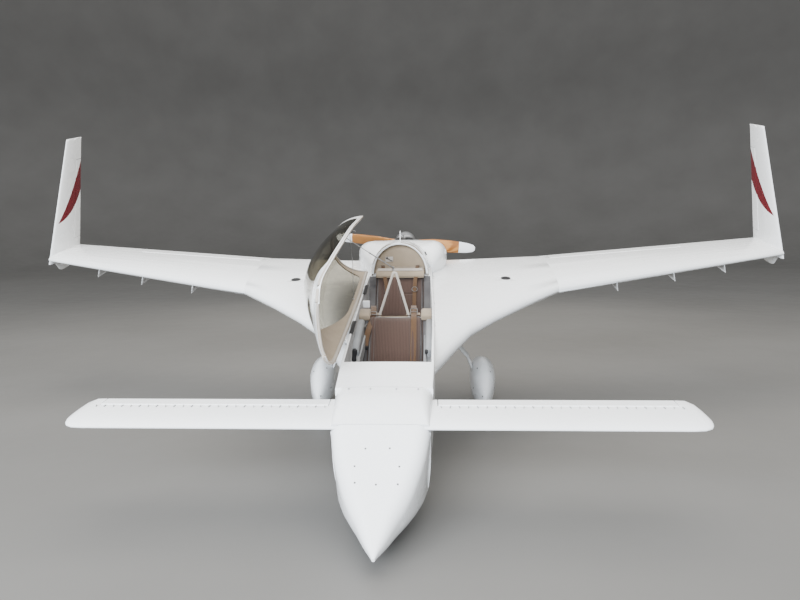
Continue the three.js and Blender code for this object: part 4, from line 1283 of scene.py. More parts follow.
def pad_shape(place):
    """A crowned pad; place gives a station for u and v from -1 to 1 and a depth from 0 to 1."""
    shape = Shape()
    steps = [math.sin(t) for t in span(-math.pi / 2, math.pi / 2, 26)]
    top, under = [], []
    for v in steps:
        top.append([])
        under.append([])
        for u in steps:
            edge = (1 - abs(u) ** 5) ** 0.4 * (1 - abs(v) ** 5) ** 0.4
            crown = 0.72 * edge + 0.28 * (1 - u * u) * (1 - v * v)
            pull = 1 - 0.02 * (1 - abs(u)) - 0.02 * (1 - abs(v))
            top[-1].append(place(u * pull, v * pull, crown))
            under[-1].append(place(u * pull, v * pull, 0.0))
    shape.loft(top, ends=False, closed=False)
    shape.loft(under, ends=False, closed=False)
    return shape


def swollen(obj, cap):
    """Lets a pad swell as cloth under gentle pressure, with no point moving further than the cap."""
    grid = obj.modifiers.new("grid", "REMESH")
    grid.mode = "VOXEL"
    grid.voxel_size = 0.009
    applied(obj)
    rest = [vertex.co.copy() for vertex in obj.data.vertices]
    cloth = obj.modifiers.new("cloth", "CLOTH")
    cloth.settings.use_pressure = True
    cloth.settings.uniform_pressure_force = 4
    cloth.settings.effector_weights.gravity = 0
    cloth.settings.quality = 4
    for step in range(1, 21):
        bpy.context.scene.frame_set(step)
    applied(obj)
    for vertex, start in zip(obj.data.vertices, rest):
        move = vertex.co - start
        if move.length > cap:
            vertex.co = start + move * (cap / move.length)
    bpy.context.scene.frame_set(1)
    soft = obj.modifiers.new("soft", "SUBSURF")
    soft.levels = soft.render_levels = 1
    applied(obj)


def pressed(obj, depth_at):
    """Presses sewn channels into a pad: depth_at gives a depth and a direction for a station."""
    back = PARKED.inverted()
    turn = PARKED.to_3x3().normalized()
    for vertex in obj.data.vertices:
        depth, way = depth_at(back @ vertex.co)
        if depth:
            vertex.co -= turn @ way * (depth * INCH)


def groove(distance, width, depth):
    return depth * math.exp(-((distance / width) ** 2))


def upholstered(shape, name, node, cap, depth_at=None):
    """Swells a pad, presses in its channels, and covers it with cloth in place of its node."""
    obj = linked(name, settled(shape.mesh(name, [upholstery]), 60))
    swollen(obj, cap)
    if depth_at:
        pressed(obj, depth_at)
    obj.data.materials.clear()
    obj.data.materials.append(finish(upholstery))
    obj.data.shade_smooth()
    carried(obj, "airframe", "brown_upholstery", [node])


class CANARD_OT_seats(bpy.types.Operator):
    """Make both seats: crowned backs and cushions with sewn channels, edged with piping"""
    bl_idname = "canard.seats"
    bl_label = "Seats"

    def execute(self, context):
        for seat in SEATS:
            self.back(seat)
            self.cushion(seat)
        return {"FINISHED"}

    def back(self, seat):
        low, high = SEATS[seat]["back"]
        middle, half = (low + high) / 2, (high - low) / 2
        foot, rise, face = seat_axes(seat)

        def place(u, v, depth):
            return on_seat(seat, u * SEAT_HALF, middle + v * half, 0.3 + depth * SEAT_DEPTH)

        def channels(station):
            out = (station - foot).dot(face)
            up = (station - foot).dot(rise)
            if out < 1.2:
                return 0, face
            if seat == "front":
                return groove(station.x - 4.9, 0.22, 0.4) + groove(station.x + 6.6, 0.22, 0.25), face
            sides = groove(abs(station.x) - 5.6, 0.22, 0.4)
            across = sum(groove(up - mixed(low, high, share), 0.2, 0.3) for share in (0.36, 0.7))
            return sides + across * (abs(station.x) < 5.6), face

        upholstered(pad_shape(place), seat + "_back_pad", seat + "_seat_back", 0.006, channels)
        edge = Shape()
        corner = 1.4
        path = [
            on_seat(seat, x * (SEAT_HALF + 0.02), middle + z * (half + 0.02), 1.0)
            for x, z in rounded_frame(corner / SEAT_HALF, corner / half, 6)
        ]
        edge.tube(path, 0.15, 8)
        edge.piece(seat + "_back_piping", "airframe", "brown_upholstery", [piping], angle=60)

    def cushion(self, seat):
        low, high = SEATS[seat]["cushion"]
        middle, half = (low + high) / 2, (high - low) / 2
        bottom, top = CUSHION["bottom"], CUSHION["top"]
        up = Vector((0, 0, 1))

        def place(u, v, depth):
            return Vector((u * SEAT_HALF, middle + v * half, mixed(bottom, top, depth)))

        def channels(station):
            if station.z < 2.4:
                return 0, up
            sides = groove(abs(station.x) - 5.6, 0.22, 0.35)
            across = groove(station.y - middle, 0.2, 0.25) * (abs(station.x) < 5.6)
            return sides + across, up

        upholstered(pad_shape(place), seat + "_cushion_pad", seat + "_seat_cushion", 0.006, channels)


def rounded_frame(corner_x, corner_y, steps):
    """A round-cornered outline from -1 to 1 both ways, that runs on over its own start."""
    points = []
    for k, (sx, sy) in enumerate(((1, 1), (-1, 1), (-1, -1), (1, -1))):
        for turn in span(k * math.pi / 2, (k + 1) * math.pi / 2, steps):
            points.append((
                sx * (1 - corner_x) + corner_x * math.cos(turn),
                sy * (1 - corner_y) + corner_y * math.sin(turn),
            ))
    return points + points[:2]


# Foot and head are (fs, wl); the half width shrinks from the foot to the tip
HEADREST = {
    "bl": -0.5, "half": 5.0, "tip": 0.45, "foot": (76.7, 19.3), "head": (80.7, 32.9), "border": 0.42,
}


class CANARD_OT_headrest(bpy.types.Operator):
    """Make the tall pointed headrest: a pad in a padded border made lighter with painted light, its core, and
    the peg of the stay
    """
    bl_idname = "canard.headrest"
    bl_label = "Headrest"

    def execute(self, context):
        self.pad()
        self.border()
        self.shell()
        self.peg()
        return {"FINISHED"}

    def at(self, across, up, out):
        """A station of the headrest: across from -1 to 1 of its width there, up from 0 to 1."""
        half = mixed(HEADREST["half"], HEADREST["tip"], up)
        foot, head = HEADREST["foot"], HEADREST["head"]
        fs, wl = (mixed(a, b, up) for a, b in zip(foot, head))
        face = Vector((0, foot[1] - head[1], head[0] - foot[0])).normalized()
        return Vector((HEADREST["bl"] * mixed(1, 0.4, up) + across * half, fs, wl)) + face * out

    def pad(self):
        def place(u, v, depth):
            return self.at(u * 0.97, mixed(0.02, 0.96, (v + 1) / 2), -0.5 + depth * 1.15)

        upholstered(pad_shape(place), "headrest_pad", "headrest", 0.003)

    def border(self):
        shape = Shape()
        corners = [(-1, 0), (1, 0), (1, 1), (-1, 1)]
        path = []
        for (u0, v0), (u1, v1) in zip(corners, corners[1:] + corners[:1]):
            path += [self.at(mixed(u0, u1, t) * 0.97, mixed(v0, v1, t), 0.0) for t in span(0.03, 0.97, 9)]
        shape.tube(path + path[:2], HEADREST["border"], 14)
        # The border wears the trim made lighter: painted light on its rounded edge.
        shape.piece("headrest_border", "airframe", "beige_trim", [trim_with_painted_light], angle=80)

    def shell(self):
        """The padded core behind the face."""
        shape = Shape()
        section = [(-1, 0), (-0.5, 0.1), (0.5, 0.1), (1, 0), (1, -1.6), (0.7, -2.2), (-0.7, -2.2), (-1, -1.6)]
        shape.loft([[self.at(u * 0.98, up, out) for u, out in section] for up in span(0, 1, 14)])
        shape.piece("headrest_shell", "airframe", "beige_trim", [beige_trim], angle=50)

    def peg(self):
        """The bent peg behind the headrest, where the stay's lower end stands."""
        shape = Shape()
        shape.tube([(0, 82, 31), (-0.4, 84, 31.5), (-0.95, 85, 32.6), (-0.95, 85.9, 32.6)], 0.16, 14)
        collar = [(0.0, -0.1), (0.3, -0.1), (0.34, 0.1), (0.16, 0.24)]
        shape.lathe(collar, (-0.95, 85.6, 32.6), (0, 1, 0), 20)
        shape.piece("stay_peg", "airframe", "bare_metal", [bare_metal], angle=40)


STRAPS = [
    # name, width in inches, stations (bl, fs, wl) along it
    ("front_strap_right", 1.75, [
        (-7.5, 85.6, 18.6), (-7.5, 84.4, 20.4), (-7.35, 82.4, 20.9), (-7.1, 80, 20.75), (-7.0, 78.4, 20.5),
        (-7.1, 76.9, 20.05), (-7.6, 74.6, 18.7), (-8.2, 71.4, 17.4), (-8.75, 69.2, 15.2),
        (-8.9, 67.5, 13.6)]),
    ("front_strap_left", 1.75, [
        (5.5, 85.6, 18.4), (5.5, 84.4, 20.2), (5.55, 82.4, 21.2), (5.6, 80.2, 21.5), (5.65, 78.4, 21.3),
        (5.7, 76.6, 20.7), (5.7, 74.4, 20.2), (5.7, 72, 18), (5.7, 69.6, 15.6), (5.6, 66.6, 12.5),
        (5.5, 63.6, 9.6), (5.4, 61.6, 7.0)]),
    ("rear_strap_right", 1.35, [
        (-6.3, 109.6, 26.1), (-6.0, 108.4, 26.0), (-5.8, 107, 25.3), (-5.5, 105.4, 24.2), (-4.9, 103.4, 22.2),
        (-4.3, 101.2, 19.8), (-3.9, 98.2, 16.6), (-3.6, 95.2, 13.4), (-3.4, 92, 10)]),
    ("rear_strap_left", 1.35, [
        (6.3, 109.6, 26.1), (6.2, 108.4, 26.0), (6.1, 107, 25.3), (5.9, 105.4, 24.2), (5.5, 103.4, 22.2),
        (5.35, 101.3, 19.9), (5.25, 98.2, 16.6), (5.2, 95.2, 13.4), (5.1, 92, 10)]),
    ("front_lap_right", 1.8, [
        (-8.9, 57.4, 3.4), (-8.1, 55.8, 4.6), (-6, 54.2, 4.95), (-3.6, 53.4, 5.0), (-1.6, 53.1, 5.0)]),
    ("front_lap_left", 1.8, [
        (8.9, 57.4, 3.4), (8.1, 55.8, 4.6), (6, 54.4, 4.95), (3.6, 53.7, 5.0), (1.8, 53.4, 5.0)]),
    ("rear_lap_right", 1.8, [
        (-8.9, 86.6, 3.4), (-8.1, 84.6, 4.6), (-6, 82.8, 4.95), (-3.6, 82.0, 5.0), (-1.6, 81.7, 5.0)]),
    ("rear_lap_left", 1.8, [
        (8.9, 86.6, 3.4), (8.1, 84.6, 4.6), (6, 83, 4.95), (3.6, 82.3, 5.0), (1.8, 82.0, 5.0)]),
]


def smooth_path(points, count):
    """A smooth path through places, evenly counted between them."""
    places = [Vector(p) for p in points]
    rows = [[i, *place] for i, place in enumerate(places)]
    return [Vector(between(rows, at)[1:]) for at in span(0, len(rows) - 1.0001, count)]


class CANARD_OT_harness(bpy.types.Operator):
    """Lay the shoulder and lap straps, and add their buckles"""
    bl_idname = "canard.harness"
    bl_label = "Harness"

    def execute(self, context):
        for name, width, points in STRAPS:
            shape = Shape()
            across = (0, 1, 0) if "lap" in name else (1, 0, 0)
            shape.strap(smooth_path(points, 40), across, width, 0.1)
            shape.piece(name, "airframe", "brown_upholstery", [webbing], angle=50)
        self.buckles()
        return {"FINISHED"}

    def frame(self, shape, centre, along, wide, high, bar):
        """A round-cornered frame of wire, with a thinner bar across its middle."""
        centre, across, along = Vector(centre), Vector((1, 0, 0)), Vector(along).normalized()
        path = [
            centre + across * (x * wide / 2) + along * (y * high / 2)
            for x, y in rounded_frame(0.3, 0.3, 4)
        ]
        shape.tube(path, bar, 8)
        shape.tube([centre - across * (wide / 2), centre + across * (wide / 2)], bar * 0.9, 8)

    def buckles(self):
        shape = Shape()
        down = Vector((0, -0.75, -0.66))
        self.frame(shape, (-7.05, 77.2, 20.35), down, 2.1, 2.0, 0.13)
        self.frame(shape, (5.7, 77.4, 21.15), down, 2.1, 2.3, 0.13)
        middle, reach = Vector((5.35, 101.2, 20.0)), 0.95
        ring = [
            middle + Vector((1, 0, 0)) * (reach * math.cos(a)) + down * (reach * math.sin(a))
            for a in span(0, 2 * math.pi, 25)
        ]
        shape.tube(ring + ring[1:2], 0.12, 8)
        for fs in (53.2, 81.8):
            self.frame(shape, (0.1, fs, 5.1), (0, 1, 0), 3.2, 2.3, 0.16)
            shape.box((-1.1, fs - 0.8, 4.95), (1.3, fs + 0.8, 5.3))
        shape.piece("harness_buckles", "airframe", "bare_metal", [bare_metal], angle=40)
        ends = Shape()
        ends.box((-9.8, 67.0, 13.0), (-8.0, 68.1, 14.0))
        ends.piece("strap_end", "airframe", "black_rubber", [black_rubber], angle=30, bevel=0.003)


# The turtledeck's inside: half width, foot, height at a station and how fast it falls behind that
ARCH = {"half": 10.3, "foot": 22.95, "height": 12.35, "from": 107.5, "fall": 0.2, "fullness": 2.1}


class CANARD_OT_cabin(bpy.types.Operator):
    """Trim the cabin: the arch behind the rear seat, the ledge, the side panels and pads, and the roll"""
    bl_idname = "canard.cabin"
    bl_label = "Cabin trim"

    def execute(self, context):
        self.arch()
        self.ledge()
        self.sides()
        self.bulkhead_cap()
        return {"FINISHED"}

    def arch_point(self, fs, share, inset):
        """A point this far inside the turtledeck's arch, from its left foot, 0, to its right foot, 1."""
        angle = math.pi * share
        c, s = math.cos(angle), max(math.sin(angle), 0)
        height = ARCH["height"] - (fs - ARCH["from"]) * ARCH["fall"]
        power = 2 / ARCH["fullness"]
        return (
            (ARCH["half"] - inset) * math.copysign(abs(c) ** power, c),
            fs,
            ARCH["foot"] + (height - inset) * s ** power,
        )

    def arch(self):
        lip = Shape()
        lip.tube([self.arch_point(107.95, t, 0.52) for t in span(0.015, 0.985, 49)], 0.5, 14)
        lip.piece("arch_lip", "airframe", "white_paint", [white_paint], angle=80)
        panel = Shape()
        rings = [
            [self.arch_point(110.1 + bow, t, inset) for t in span(0.0, 1.0, 41)]
            for inset, bow in ((0.62, 0.5), (0.62, 0.1), (0.8, 0.0), (4, -0.25), (8, -0.35), (10.2, -0.38))
        ]
        panel.loft(rings, ends=False, closed=False)
        panel.piece("arch_panel", "airframe", "beige_trim", [beige_trim], ["rear_trim_panel"], angle=50)
        latch = Shape()
        latch.box((-5.2, 109.35, 27.5), (-2.4, 109.75, 29.4))
        # The plate wears the trim made lighter: painted light.
        latch.piece("arch_latch_plate", "airframe", "beige_trim", [trim_with_painted_light], angle=30, bevel=0.003)
        handle = Shape()
        lever = [(-4.9, 109.3, 28.9), (-4.3, 109.0, 28.9), (-3.4, 108.95, 28.3), (-2.7, 109.2, 27.9)]
        handle.tube(lever, 0.15, 10)
        boss = [(0.0, 0.3), (0.34, 0.3), (0.42, 0.1), (0.42, 0)]
        handle.lathe(boss, (-4.6, 109.35, 28.9), (0, -1, 0), 20)
        handle.piece("arch_latch_handle", "airframe", "bare_metal", [cast_metal], angle=40)

    def ledge(self):
        """The padded shelf above the rear seat, with a band along its top painted paler: a painted highlight.
        """
        profile = [
            (104.6, 22.95), (104.5, 23.8), (105.4, 24.9), (107.0, 25.5), (109.6, 25.7), (110.0, 24.4),
            (110, 22.95),
        ]
        shape = Shape()
        rings = [
            [(bl, mixed(107.3, fs, fullness), mixed(23.6, wl, fullness)) for fs, wl in profile]
            for bl, fullness in ((-8.4, 0.82), (-8.2, 0.95), (-7.7, 1), (8.0, 1), (8.5, 0.95), (8.7, 0.82))
        ]
        shape.loft(rings)
        shape.piece("rear_ledge", "airframe", "beige_trim", [beige_trim], angle=30, bevel=0.006)
        # The band is a painted highlight: a paler strip where light falls on the ledge's top.
        band = Shape()
        band.strap([(-7.8, 106.6, 25.5), (0, 106.6, 25.5), (8.1, 106.6, 25.5)], (0, 1, 0.3), 1.5, 0.14)
        band.piece("rear_ledge_band", "airframe", "beige_trim", [trim_with_painted_light], angle=50)

    def sides(self):
        """Grey panels along both walls, beige shoulder pads behind them, and a small white speaker."""
        panel_rows = [
            # fs, top
            (56, 18.2), (58, 19.4), (66, 20.1), (73.5, 20.3), (74.6, 19.8),
        ]
        pad_rows = [
            # fs, bottom, top
            (74.8, 19.4, 20.8), (75.3, 19.1, 21.2), (79.8, 19.1, 21.3), (80.6, 19.4, 21.0),
        ]
        for side, name in ((1, "left"), (-1, "right")):
            panel = Shape()
            panel.loft([
                [(side * bl, fs, wl) for bl, wl in (
                    (11.3, 15.6), (9.5, 15.6), (9.3, 16), (9.4, top - 0.7), (9.9, top), (11.3, top))]
                for fs, top in panel_rows
            ])
            panel.piece("side_panel_" + name, "airframe", "grey_panel", [pale_grey], angle=40, bevel=0.004)
            pad = Shape()
            pad.loft([
                [(side * bl, fs, wl) for bl, wl in (
                    (11.3, low), (8.3, low), (7.9, low + 0.5), (7.9, top - 0.6), (8.4, top), (11.3, top))]
                for fs, low, top in pad_rows
            ])
            pad.piece("shoulder_pad_" + name, "airframe", "beige_trim", [beige_trim], angle=40, bevel=0.006)
        white = Shape()
        white.box((-10.6, 80.9, 21.2), (-8.4, 81.7, 23.4))
        white.piece("cabin_speaker", "airframe", "white_paint", [white_paint], angle=30, bevel=0.004)

    def bulkhead_cap(self):
        """A padded roll along the top of the front seat's bulkhead."""
        cap = Shape()
        cap.tube([(-7.6, 79.4, 19.5), (7.6, 79.4, 19.5)], 0.75, 16, 0.6)
        cap.piece("bulkhead_roll", "airframe", "beige_trim", [beige_trim], angle=60)


# Places (bl, wl) of the round instruments, and the station of the panel's face
GAUGES = [(bl, wl) for wl in (18.9, 15.3) for bl in (-9.2, -5.7, 5.7, 9.2)]
GAUGE_RADIUS = 1.5
PANEL_FACE = 39.42


class CANARD_OT_controls(bpy.types.Operator):
    """Fit out the instrument panel, and add the side stick and the levers"""
    bl_idname = "canard.controls"
    bl_label = "Controls"

    def execute(self, context):
        self.instruments()
        self.stick()
        self.levers()
        return {"FINISHED"}

    def instruments(self):
        """Round gauges with marks and a pointer, a stack of boxes between them, and a row of switches."""
        dials, bezels, marks = Shape(), Shape(), Shape()
        rear = Vector((0, 1, 0))
        for bl, wl in GAUGES:
            centre = Vector((bl, PANEL_FACE, wl))
            glass, rim = GAUGE_RADIUS - 0.1, GAUGE_RADIUS - 0.2
            dials.lathe([(0.0, 0.05), (glass, 0.05), (glass, 0)], centre, rear, 32)
            ring = [(GAUGE_RADIUS, 0), (GAUGE_RADIUS, 0.16), (glass, 0.22), (rim, 0.16), (rim, 0.04)]
            bezels.lathe(ring, centre, rear, 32)
            for turn in span(-2.3, 2.3, 9):
                out = Vector((math.sin(turn), 0, math.cos(turn)))
                start = centre + out * (GAUGE_RADIUS * 0.68) + rear * 0.06
                marks.tube([start, start + out * (GAUGE_RADIUS * 0.15)], 0.035, 4)
            point = Vector((math.sin(bl), 0, math.cos(bl)))
            lift = rear * 0.09
            marks.tube([centre + lift, centre + point * (GAUGE_RADIUS * 0.62) + lift], 0.05, 4)
        front = PANEL_FACE + 0.24
        for wl in (13.4, 15.6, 17.8, 20.0):
            bezels.box((-3.1, PANEL_FACE, wl - 0.9), (3.1, front, wl + 0.9))
            dials.box((-2.2, front, wl - 0.5), (1.2, PANEL_FACE + 0.27, wl + 0.5))
            for bl in (-2.65, 1.7, 2.55):
                bezels.lathe([(0.26, 0), (0.26, 0.5), (0.2, 0.56), (0.0, 0.56)], (bl, front, wl), rear, 16)
        for bl in span(-9.9, -5, 8):
            marks.tube([(bl, PANEL_FACE, 12.9), (bl, PANEL_FACE + 0.5, 13.15)], 0.09, 8)
        dials.piece("instrument_dials", "airframe", "grey_panel", [dial_face], angle=40)
        bezels.piece("instrument_bezels", "airframe", "black_rubber", [black_rubber], angle=40)
        marks.piece("instrument_marks", "airframe", "white_paint", [pale_grey], angle=40)

    def stick(self):
        """The side stick on the right console."""
        stick = Shape()
        places = [(-10, 50, 16.5), (-10, 50, 17.6), (-9.9, 50.1, 19), (-9.7, 50, 20.6), (-9.5, 49.7, 21.6)]
        sizes = [0.24, 0.24, 0.26, 0.45, 0.62, 0.66, 0.62, 0.58, 0.62, 0.68, 0.72, 0.7, 0.6, 0.35]
        stick.tube(smooth_path(places, len(sizes)), sizes, 16)
        boot = [(1.1, 0), (1.1, 0.15), (0.75, 0.6), (0.4, 0.85), (0.25, 0.9)]
        stick.lathe(boot, places[0], (0, 0, 1), 24)
        stick.piece("side_stick", "airframe", "black_rubber", [black_rubber], angle=60)

    def levers(self):
        """A bent handle on the right wall, and two levers with round knobs on the left console."""
        metal, knobs = Shape(), Shape()
        handle = [(-10.5, 70.6, 18.2), (-9.3, 70.8, 18.9), (-8.8, 71.6, 19.3), (-8.6, 73, 19.0)]
        metal.tube(smooth_path(handle, 14), 0.2, 10)
        knob = [(0.0, -0.5), (0.3, -0.42), (0.46, -0.1), (0.46, 0.2), (0.3, 0.46), (0.0, 0.5)]
        for fs, wl in ((52, 19.6), (53.4, 19.3)):
            metal.tube([(9.9, fs, 16.5), (9.7, fs - 0.8, wl)], 0.12, 8)
            knobs.lathe(knob, (9.7, fs - 0.85, wl + 0.3), (0, 0, 1), 20)
        metal.box((9.2, 50.4, 16.5), (10.6, 55, 16.66))
        metal.piece("lever_rods", "airframe", "bare_metal", [bare_metal], angle=40)
        knobs.piece("lever_knobs", "airframe", "black_rubber", [black_rubber], angle=50)


HATCH_SCREWS = [
    # fs, bl
    (9.3, -2.8), (9.4, 2.3), (6.0, -4.8), (6.0, 4.4), (3.0, -4.5), (2.7, -0.2), (2.8, 4.2),
]


class CANARD_OT_fasteners(bpy.types.Operator):
    """Drive screws into the nose hatch, the cover, the cowling and the wheel fairings"""
    bl_idname = "canard.fasteners"
    bl_label = "Screws"

    def execute(self, context):
        points = [self.down("nose_fairing", bl, fs) for fs, bl in HATCH_SCREWS]
        points += [self.down("canard_cover", bl, fs) for fs in (15.2, 25.2) for bl in (-8, -3, 3, 8)]
        for node, wl, stations in (
                ("cowling_top", 22.6, span(128, 145, 6)), ("cowling_bottom", 18.2, span(144, 149, 3))):
            points += [self.inward(node, side, fs, wl) for side in (-1, 1) for fs in stations]
        radius, height = settings().screw_radius, SCREW_SIZES["Height"]
        tree = point_tree("screw_heads", SCREW_SIZES, screw_head)
        sizes = {"Radius": radius, "Height": height}
        scattered("screws", tree, points, sizes, bare_metal, "bare_metal")
        # The fairings' screw heads are dull black: painted shade of the recesses round them.
        larger = {"Radius": 1.3 * radius, "Height": 0.0014}
        scattered("pant_screws", tree, self.pant_points(), larger, black_and_painted_shade, "grey_panel")
        return {"FINISHED"}

    def pant_points(self):
        """Screws on the fronts of the wheel fairings, and two on each of their sides."""
        points = []
        for side, name in ((1, "left"), (-1, "right")):
            node = "wheel_pant_" + name
            for bl, wl in ((27.5, -11.9), (29.5, -19.3), (33, -12.5), (31.5, -22.4)):
                place, normal = on_surface(node, (side * bl, 60, wl), (0, 1, 0))
                points.append((PARKED @ ridged(PARKED.inverted() @ place), normal, (1, 0, 0)))
            for fs in (101, 118):
                for outward in (-1, 1):
                    start = (side * (PANT_RIDGE["bl"] + outward * 20), fs, -19)
                    place, normal = on_surface(node, start, (-side * outward, 0, 0))
                    points.append((place, normal, (0, 1, 0)))
        return points

    def down(self, node, bl, fs):
        place, normal = on_surface(node, (bl, fs, 60), (0, 0, -1))
        return place, normal, (1, 0, 0)

    def inward(self, node, side, fs, wl):
        place, normal = on_surface(node, (side * 40, fs, wl), (-side, 0, 0))
        return place, normal, (0, 1, 0)


VORTEX_ROW = {"fs": 21.5, "inner": 13.2, "outer": 66.5, "slant": math.radians(14)}


class CANARD_OT_vortex_tabs(bpy.types.Operator):
    """Stand a row of small vortex tabs along the top of the canard"""
    bl_idname = "canard.vortex_tabs"
    bl_label = "Vortex tabs"

    def execute(self, context):
        row = VORTEX_ROW
        count = int((row["outer"] - row["inner"]) * INCH / settings().tab_spacing) + 1
        points = []
        for side in (-1, 1):
            for i, bl in enumerate(span(row["inner"], row["outer"], count)):
                place, normal = on_surface("canard", (side * bl, row["fs"], 40), (0, 0, -1))
                slant = row["slant"] * (1 if i % 2 else -1)
                along = PARKED.to_3x3() @ Vector((math.sin(slant), math.cos(slant), 0))
                points.append((place, normal, along.normalized()))
        sizes = {**TAB_SIZES, "Height": 2 * settings().tab_height}
        tree = point_tree("upright_tabs", TAB_SIZES, upright_tab)
        # The tabs are grey, painted shade that stands in for their shadows; the real tabs are white.
        scattered("vortex_tabs", tree, points, sizes, joint_grey_and_tab_shade, "grey_panel")
        return {"FINISHED"}


class CANARD_OT_seams(bpy.types.Operator):
    """Draw the fine dark joint lines between the skin's panels"""
    bl_idname = "canard.seams"
    bl_label = "Seams"

    def execute(self, context):
        lines = [
            # name, the section that it runs round, radius
            ("nose_seam", COVER[0], 0.03),
            ("cover_seam", COVER[-1], 0.045),
        ]
        for name, row, radius in lines:
            fs, half, _, top, _, high, crown = row
            path = []
            for share in span(-1, 1, 41):
                x = share * half * 0.995
                over = max(0, abs(x) - (half - high)) / high
                drop = high * (1 - math.sqrt(max(0, 1 - over ** 2)))
                path.append((x, fs + 0.02, max(top - drop + crown * (1 - (x / half) ** 2), 20.2)))
            shape = Shape()
            shape.tube(path, radius, 6)
            shape.piece(name, "airframe", "grey_panel", [joint_grey_and_tab_shade], angle=80)
        return {"FINISHED"}


WHEELS = [
    # node, body, centre (bl, fs, wl), radius, width, rim radius
    ("tyre_left", "left_wheel", (31.2, 109.55, -23.2), 7, 4.8, 3.2),
    ("tyre_right", "right_wheel", (-31.2, 109.55, -23.2), 7, 4.8, 3.2),
    ("nose_tyre", "nose_wheel", (0, 38, 0.4), 5, 3, 2.2),
]


class CANARD_OT_wheels(bpy.types.Operator):
    """Make the three tyres, with round shoulders and tread grooves"""
    bl_idname = "canard.wheels"
    bl_label = "Tyres"

    def execute(self, context):
        for node, body, centre, radius, width, rim in WHEELS:
            half = width / 2
            side = mixed(rim, radius, 0.55)
            shoulder = mixed(rim, radius, 0.62)
            profile = [(rim + 0.03, -half * 0.72), (rim + 0.35, -half * 0.8), (side, -half * 0.985)]
            for turn in span(0.15, 0.9, 5):
                angle = turn * math.pi / 2
                profile.append((
                    mixed(shoulder, radius, math.sin(angle)), -half * (0.62 + 0.36 * math.cos(angle))))
            for groove_at in (-0.42, 0, 0.42):
                for step, depth in ((-0.07, 0), (-0.05, 0.16), (0.05, 0.16), (0.07, 0)):
                    profile.append((radius - depth - 0.06 * abs(groove_at), half * (groove_at + step)))
            profile += [(r, -far) for r, far in reversed(profile[:8])]
            middle = Vector(centre)
            shape = Shape()
            shape.loft([
                [middle + Vector((far, r * math.cos(a), r * math.sin(a))) for r, far in profile]
                for a in span(0, 2 * math.pi, 65)
            ], ends=False)
            shape.piece(node + "_treaded", body, "tyre_rubber", [tyre_rubber], [node], angle=35)
        return {"FINISHED"}


class CANARD_OT_engine(bpy.types.Operator):
    """Add the slot in the cowling's top and the exhaust pipes"""
    bl_idname = "canard.engine"
    bl_label = "Engine details"

    def execute(self, context):
        # The slot is a dull black bar on the cowling's top: painted shade standing in for its opening.
        slot = Shape()
        place, _ = on_surface("cowling_top", (9.4, 100, 26.7), (0, 1, 0))
        middle = PARKED.inverted() @ place
        slot.tube([middle + Vector((-0.55, -0.06, 1.1)), middle + Vector((0.55, -0.06, -1.0))], 0.2, 10)
        slot.piece("cowl_slot", "airframe", "black_rubber", [black_and_painted_shade], angle=60)
        pipes = Shape()
        for bl in (-4.2, -7.2, 4.2, 7.2):
            path = [(bl, fs, wl) for fs, wl in ((140, 6), (146, 5.2), (151, 4.6), (155, 4.6))]
            pipes.tube(smooth_path(path, 14), 0.85, 18)
        pipes.piece("exhaust_pipes", "airframe", "bare_metal", [cast_metal], angle=50)
        return {"FINISHED"}


# The camera's place from the stations' origin in metres, its angles in degrees and its lens in millimetres
CAMERA = {"place": Vector((0.28, -2.98, 1.59)), "down": 5.42, "left": 2.96, "roll": -0.57, "lens": 27.03}


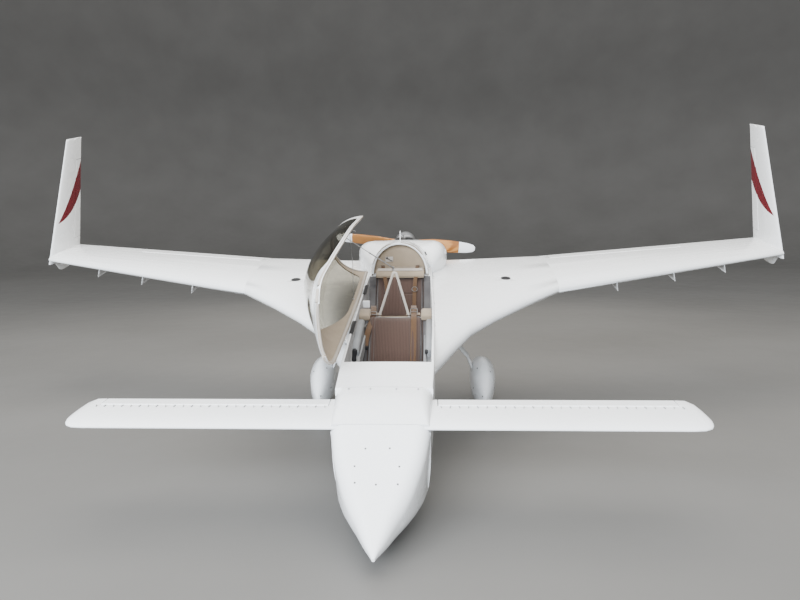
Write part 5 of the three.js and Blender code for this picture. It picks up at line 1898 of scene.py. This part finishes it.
class CANARD_OT_stage(bpy.types.Operator):
    """Set up the floor, the lights and the camera"""
    bl_idname = "canard.stage"
    bl_label = "Stage"

    def execute(self, context):
        self.floor()
        self.lights()
        self.camera()
        return {"FINISHED"}

    def floor(self):
        """A round floor that turns up into a plain backdrop far out on every side."""
        flat, bend, wall = 38, 16, 27
        sides = 96
        profile = [(0.01, 0), (flat / 2, 0), (flat, 0)]
        for a in span(0.08, math.pi / 2, 20):
            profile.append((flat + bend * math.sin(a), bend * (1 - math.cos(a))))
        profile.append((flat + bend, wall))
        points = [(r * math.cos(a), r * math.sin(a), z) for r, z in profile for a in turns(sides)]
        faces = [*walls(len(profile), sides), tuple(range(sides))]
        mesh = bpy.data.meshes.new("floor")
        mesh.from_pydata(points, [], faces)
        mesh.shade_smooth()
        mesh.flip_normals()
        mesh.materials.append(finish(pale_floor))
        linked("floor", mesh)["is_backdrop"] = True

    def lights(self):
        rows = [
            # name, place, aims at, width, height, watts, colour
            ("overhead", (0, 0.0, 9.0), (0, 0, 0), 12, 10, 1450, (1, 0.95, 0.86)),
            ("front", (-3.5, -12, 4.4), (0, -0.5, 0.6), 12, 6, 6600, (0.89, 0.945, 1)),
            ("back", (0, 10, 6), (0, 1, 1), 10, 4, 500, (1, 0.94, 0.84)),
        ]
        for name, place, aim, wide, high, watts, color in rows:
            light = bpy.data.lights.new(name, "AREA")
            light.shape = "RECTANGLE"
            light.size = wide
            light.size_y = high
            light.energy = watts
            light.color = color
            obj = bpy.data.objects.new(name, light)
            obj.location = place
            obj.rotation_euler = (Vector(aim) - Vector(place)).to_track_quat("-Z", "Y").to_euler()
            obj.visible_glossy = False
            obj.visible_transmission = False
            bpy.context.scene.collection.objects.link(obj)
        world = bpy.data.worlds.new("studio")
        world.use_nodes = True
        background = world.node_tree.nodes["Background"]
        background.inputs["Color"].default_value = (0.96, 0.96, 0.95, 1)
        background.inputs["Strength"].default_value = 1.1
        bpy.context.scene.world = world

    def camera(self):
        camera = bpy.data.cameras.new("camera")
        camera.sensor_width = 36
        camera.lens = CAMERA["lens"]
        obj = bpy.data.objects.new("camera", camera)
        obj.location = PARKED.translation + CAMERA["place"]
        down, left, roll = (math.radians(CAMERA[angle]) for angle in ("down", "left", "roll"))
        turn = Matrix.Rotation(left, 4, "Z") @ Matrix.Rotation(math.pi / 2 - down, 4, "X")
        obj.rotation_euler = (turn @ Matrix.Rotation(roll, 4, "Z")).to_euler()
        bpy.context.scene.collection.objects.link(obj)
        bpy.context.scene.camera = obj


STEPS = [
    CANARD_OT_skins, CANARD_OT_canopy, CANARD_OT_canopy_fittings, CANARD_OT_seats, CANARD_OT_headrest,
    CANARD_OT_harness, CANARD_OT_cabin, CANARD_OT_controls, CANARD_OT_fasteners, CANARD_OT_vortex_tabs,
    CANARD_OT_seams, CANARD_OT_wheels, CANARD_OT_engine, CANARD_OT_stage,
]


class CANARD_PT_panel(bpy.types.Panel):
    """The dressing's settings and steps"""
    bl_idname = "CANARD_PT_panel"
    bl_label = "Canard dressing"
    bl_space_type = "VIEW_3D"
    bl_region_type = "UI"
    bl_category = "Canard"

    def draw(self, context):
        for name in CanardDressing.__annotations__:
            self.layout.prop(settings(), name)
        for step in STEPS:
            self.layout.operator(step.bl_idname)


CLASSES = [CanardDressing, *STEPS, CANARD_PT_panel]


def register():
    for made in CLASSES:
        bpy.utils.register_class(made)
    bpy.types.Scene.canard_dressing = bpy.props.PointerProperty(type=CanardDressing)


def unregister():
    del bpy.types.Scene.canard_dressing
    for made in reversed(CLASSES):
        bpy.utils.unregister_class(made)


def main():
    register()
    for step in STEPS:
        group, name = step.bl_idname.split(".")
        getattr(getattr(bpy.ops, group), name)()
    boxes = [[list(corner) for corner in box] for box in (CAD_BOX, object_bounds())]


if __name__ == "__main__":
    main()
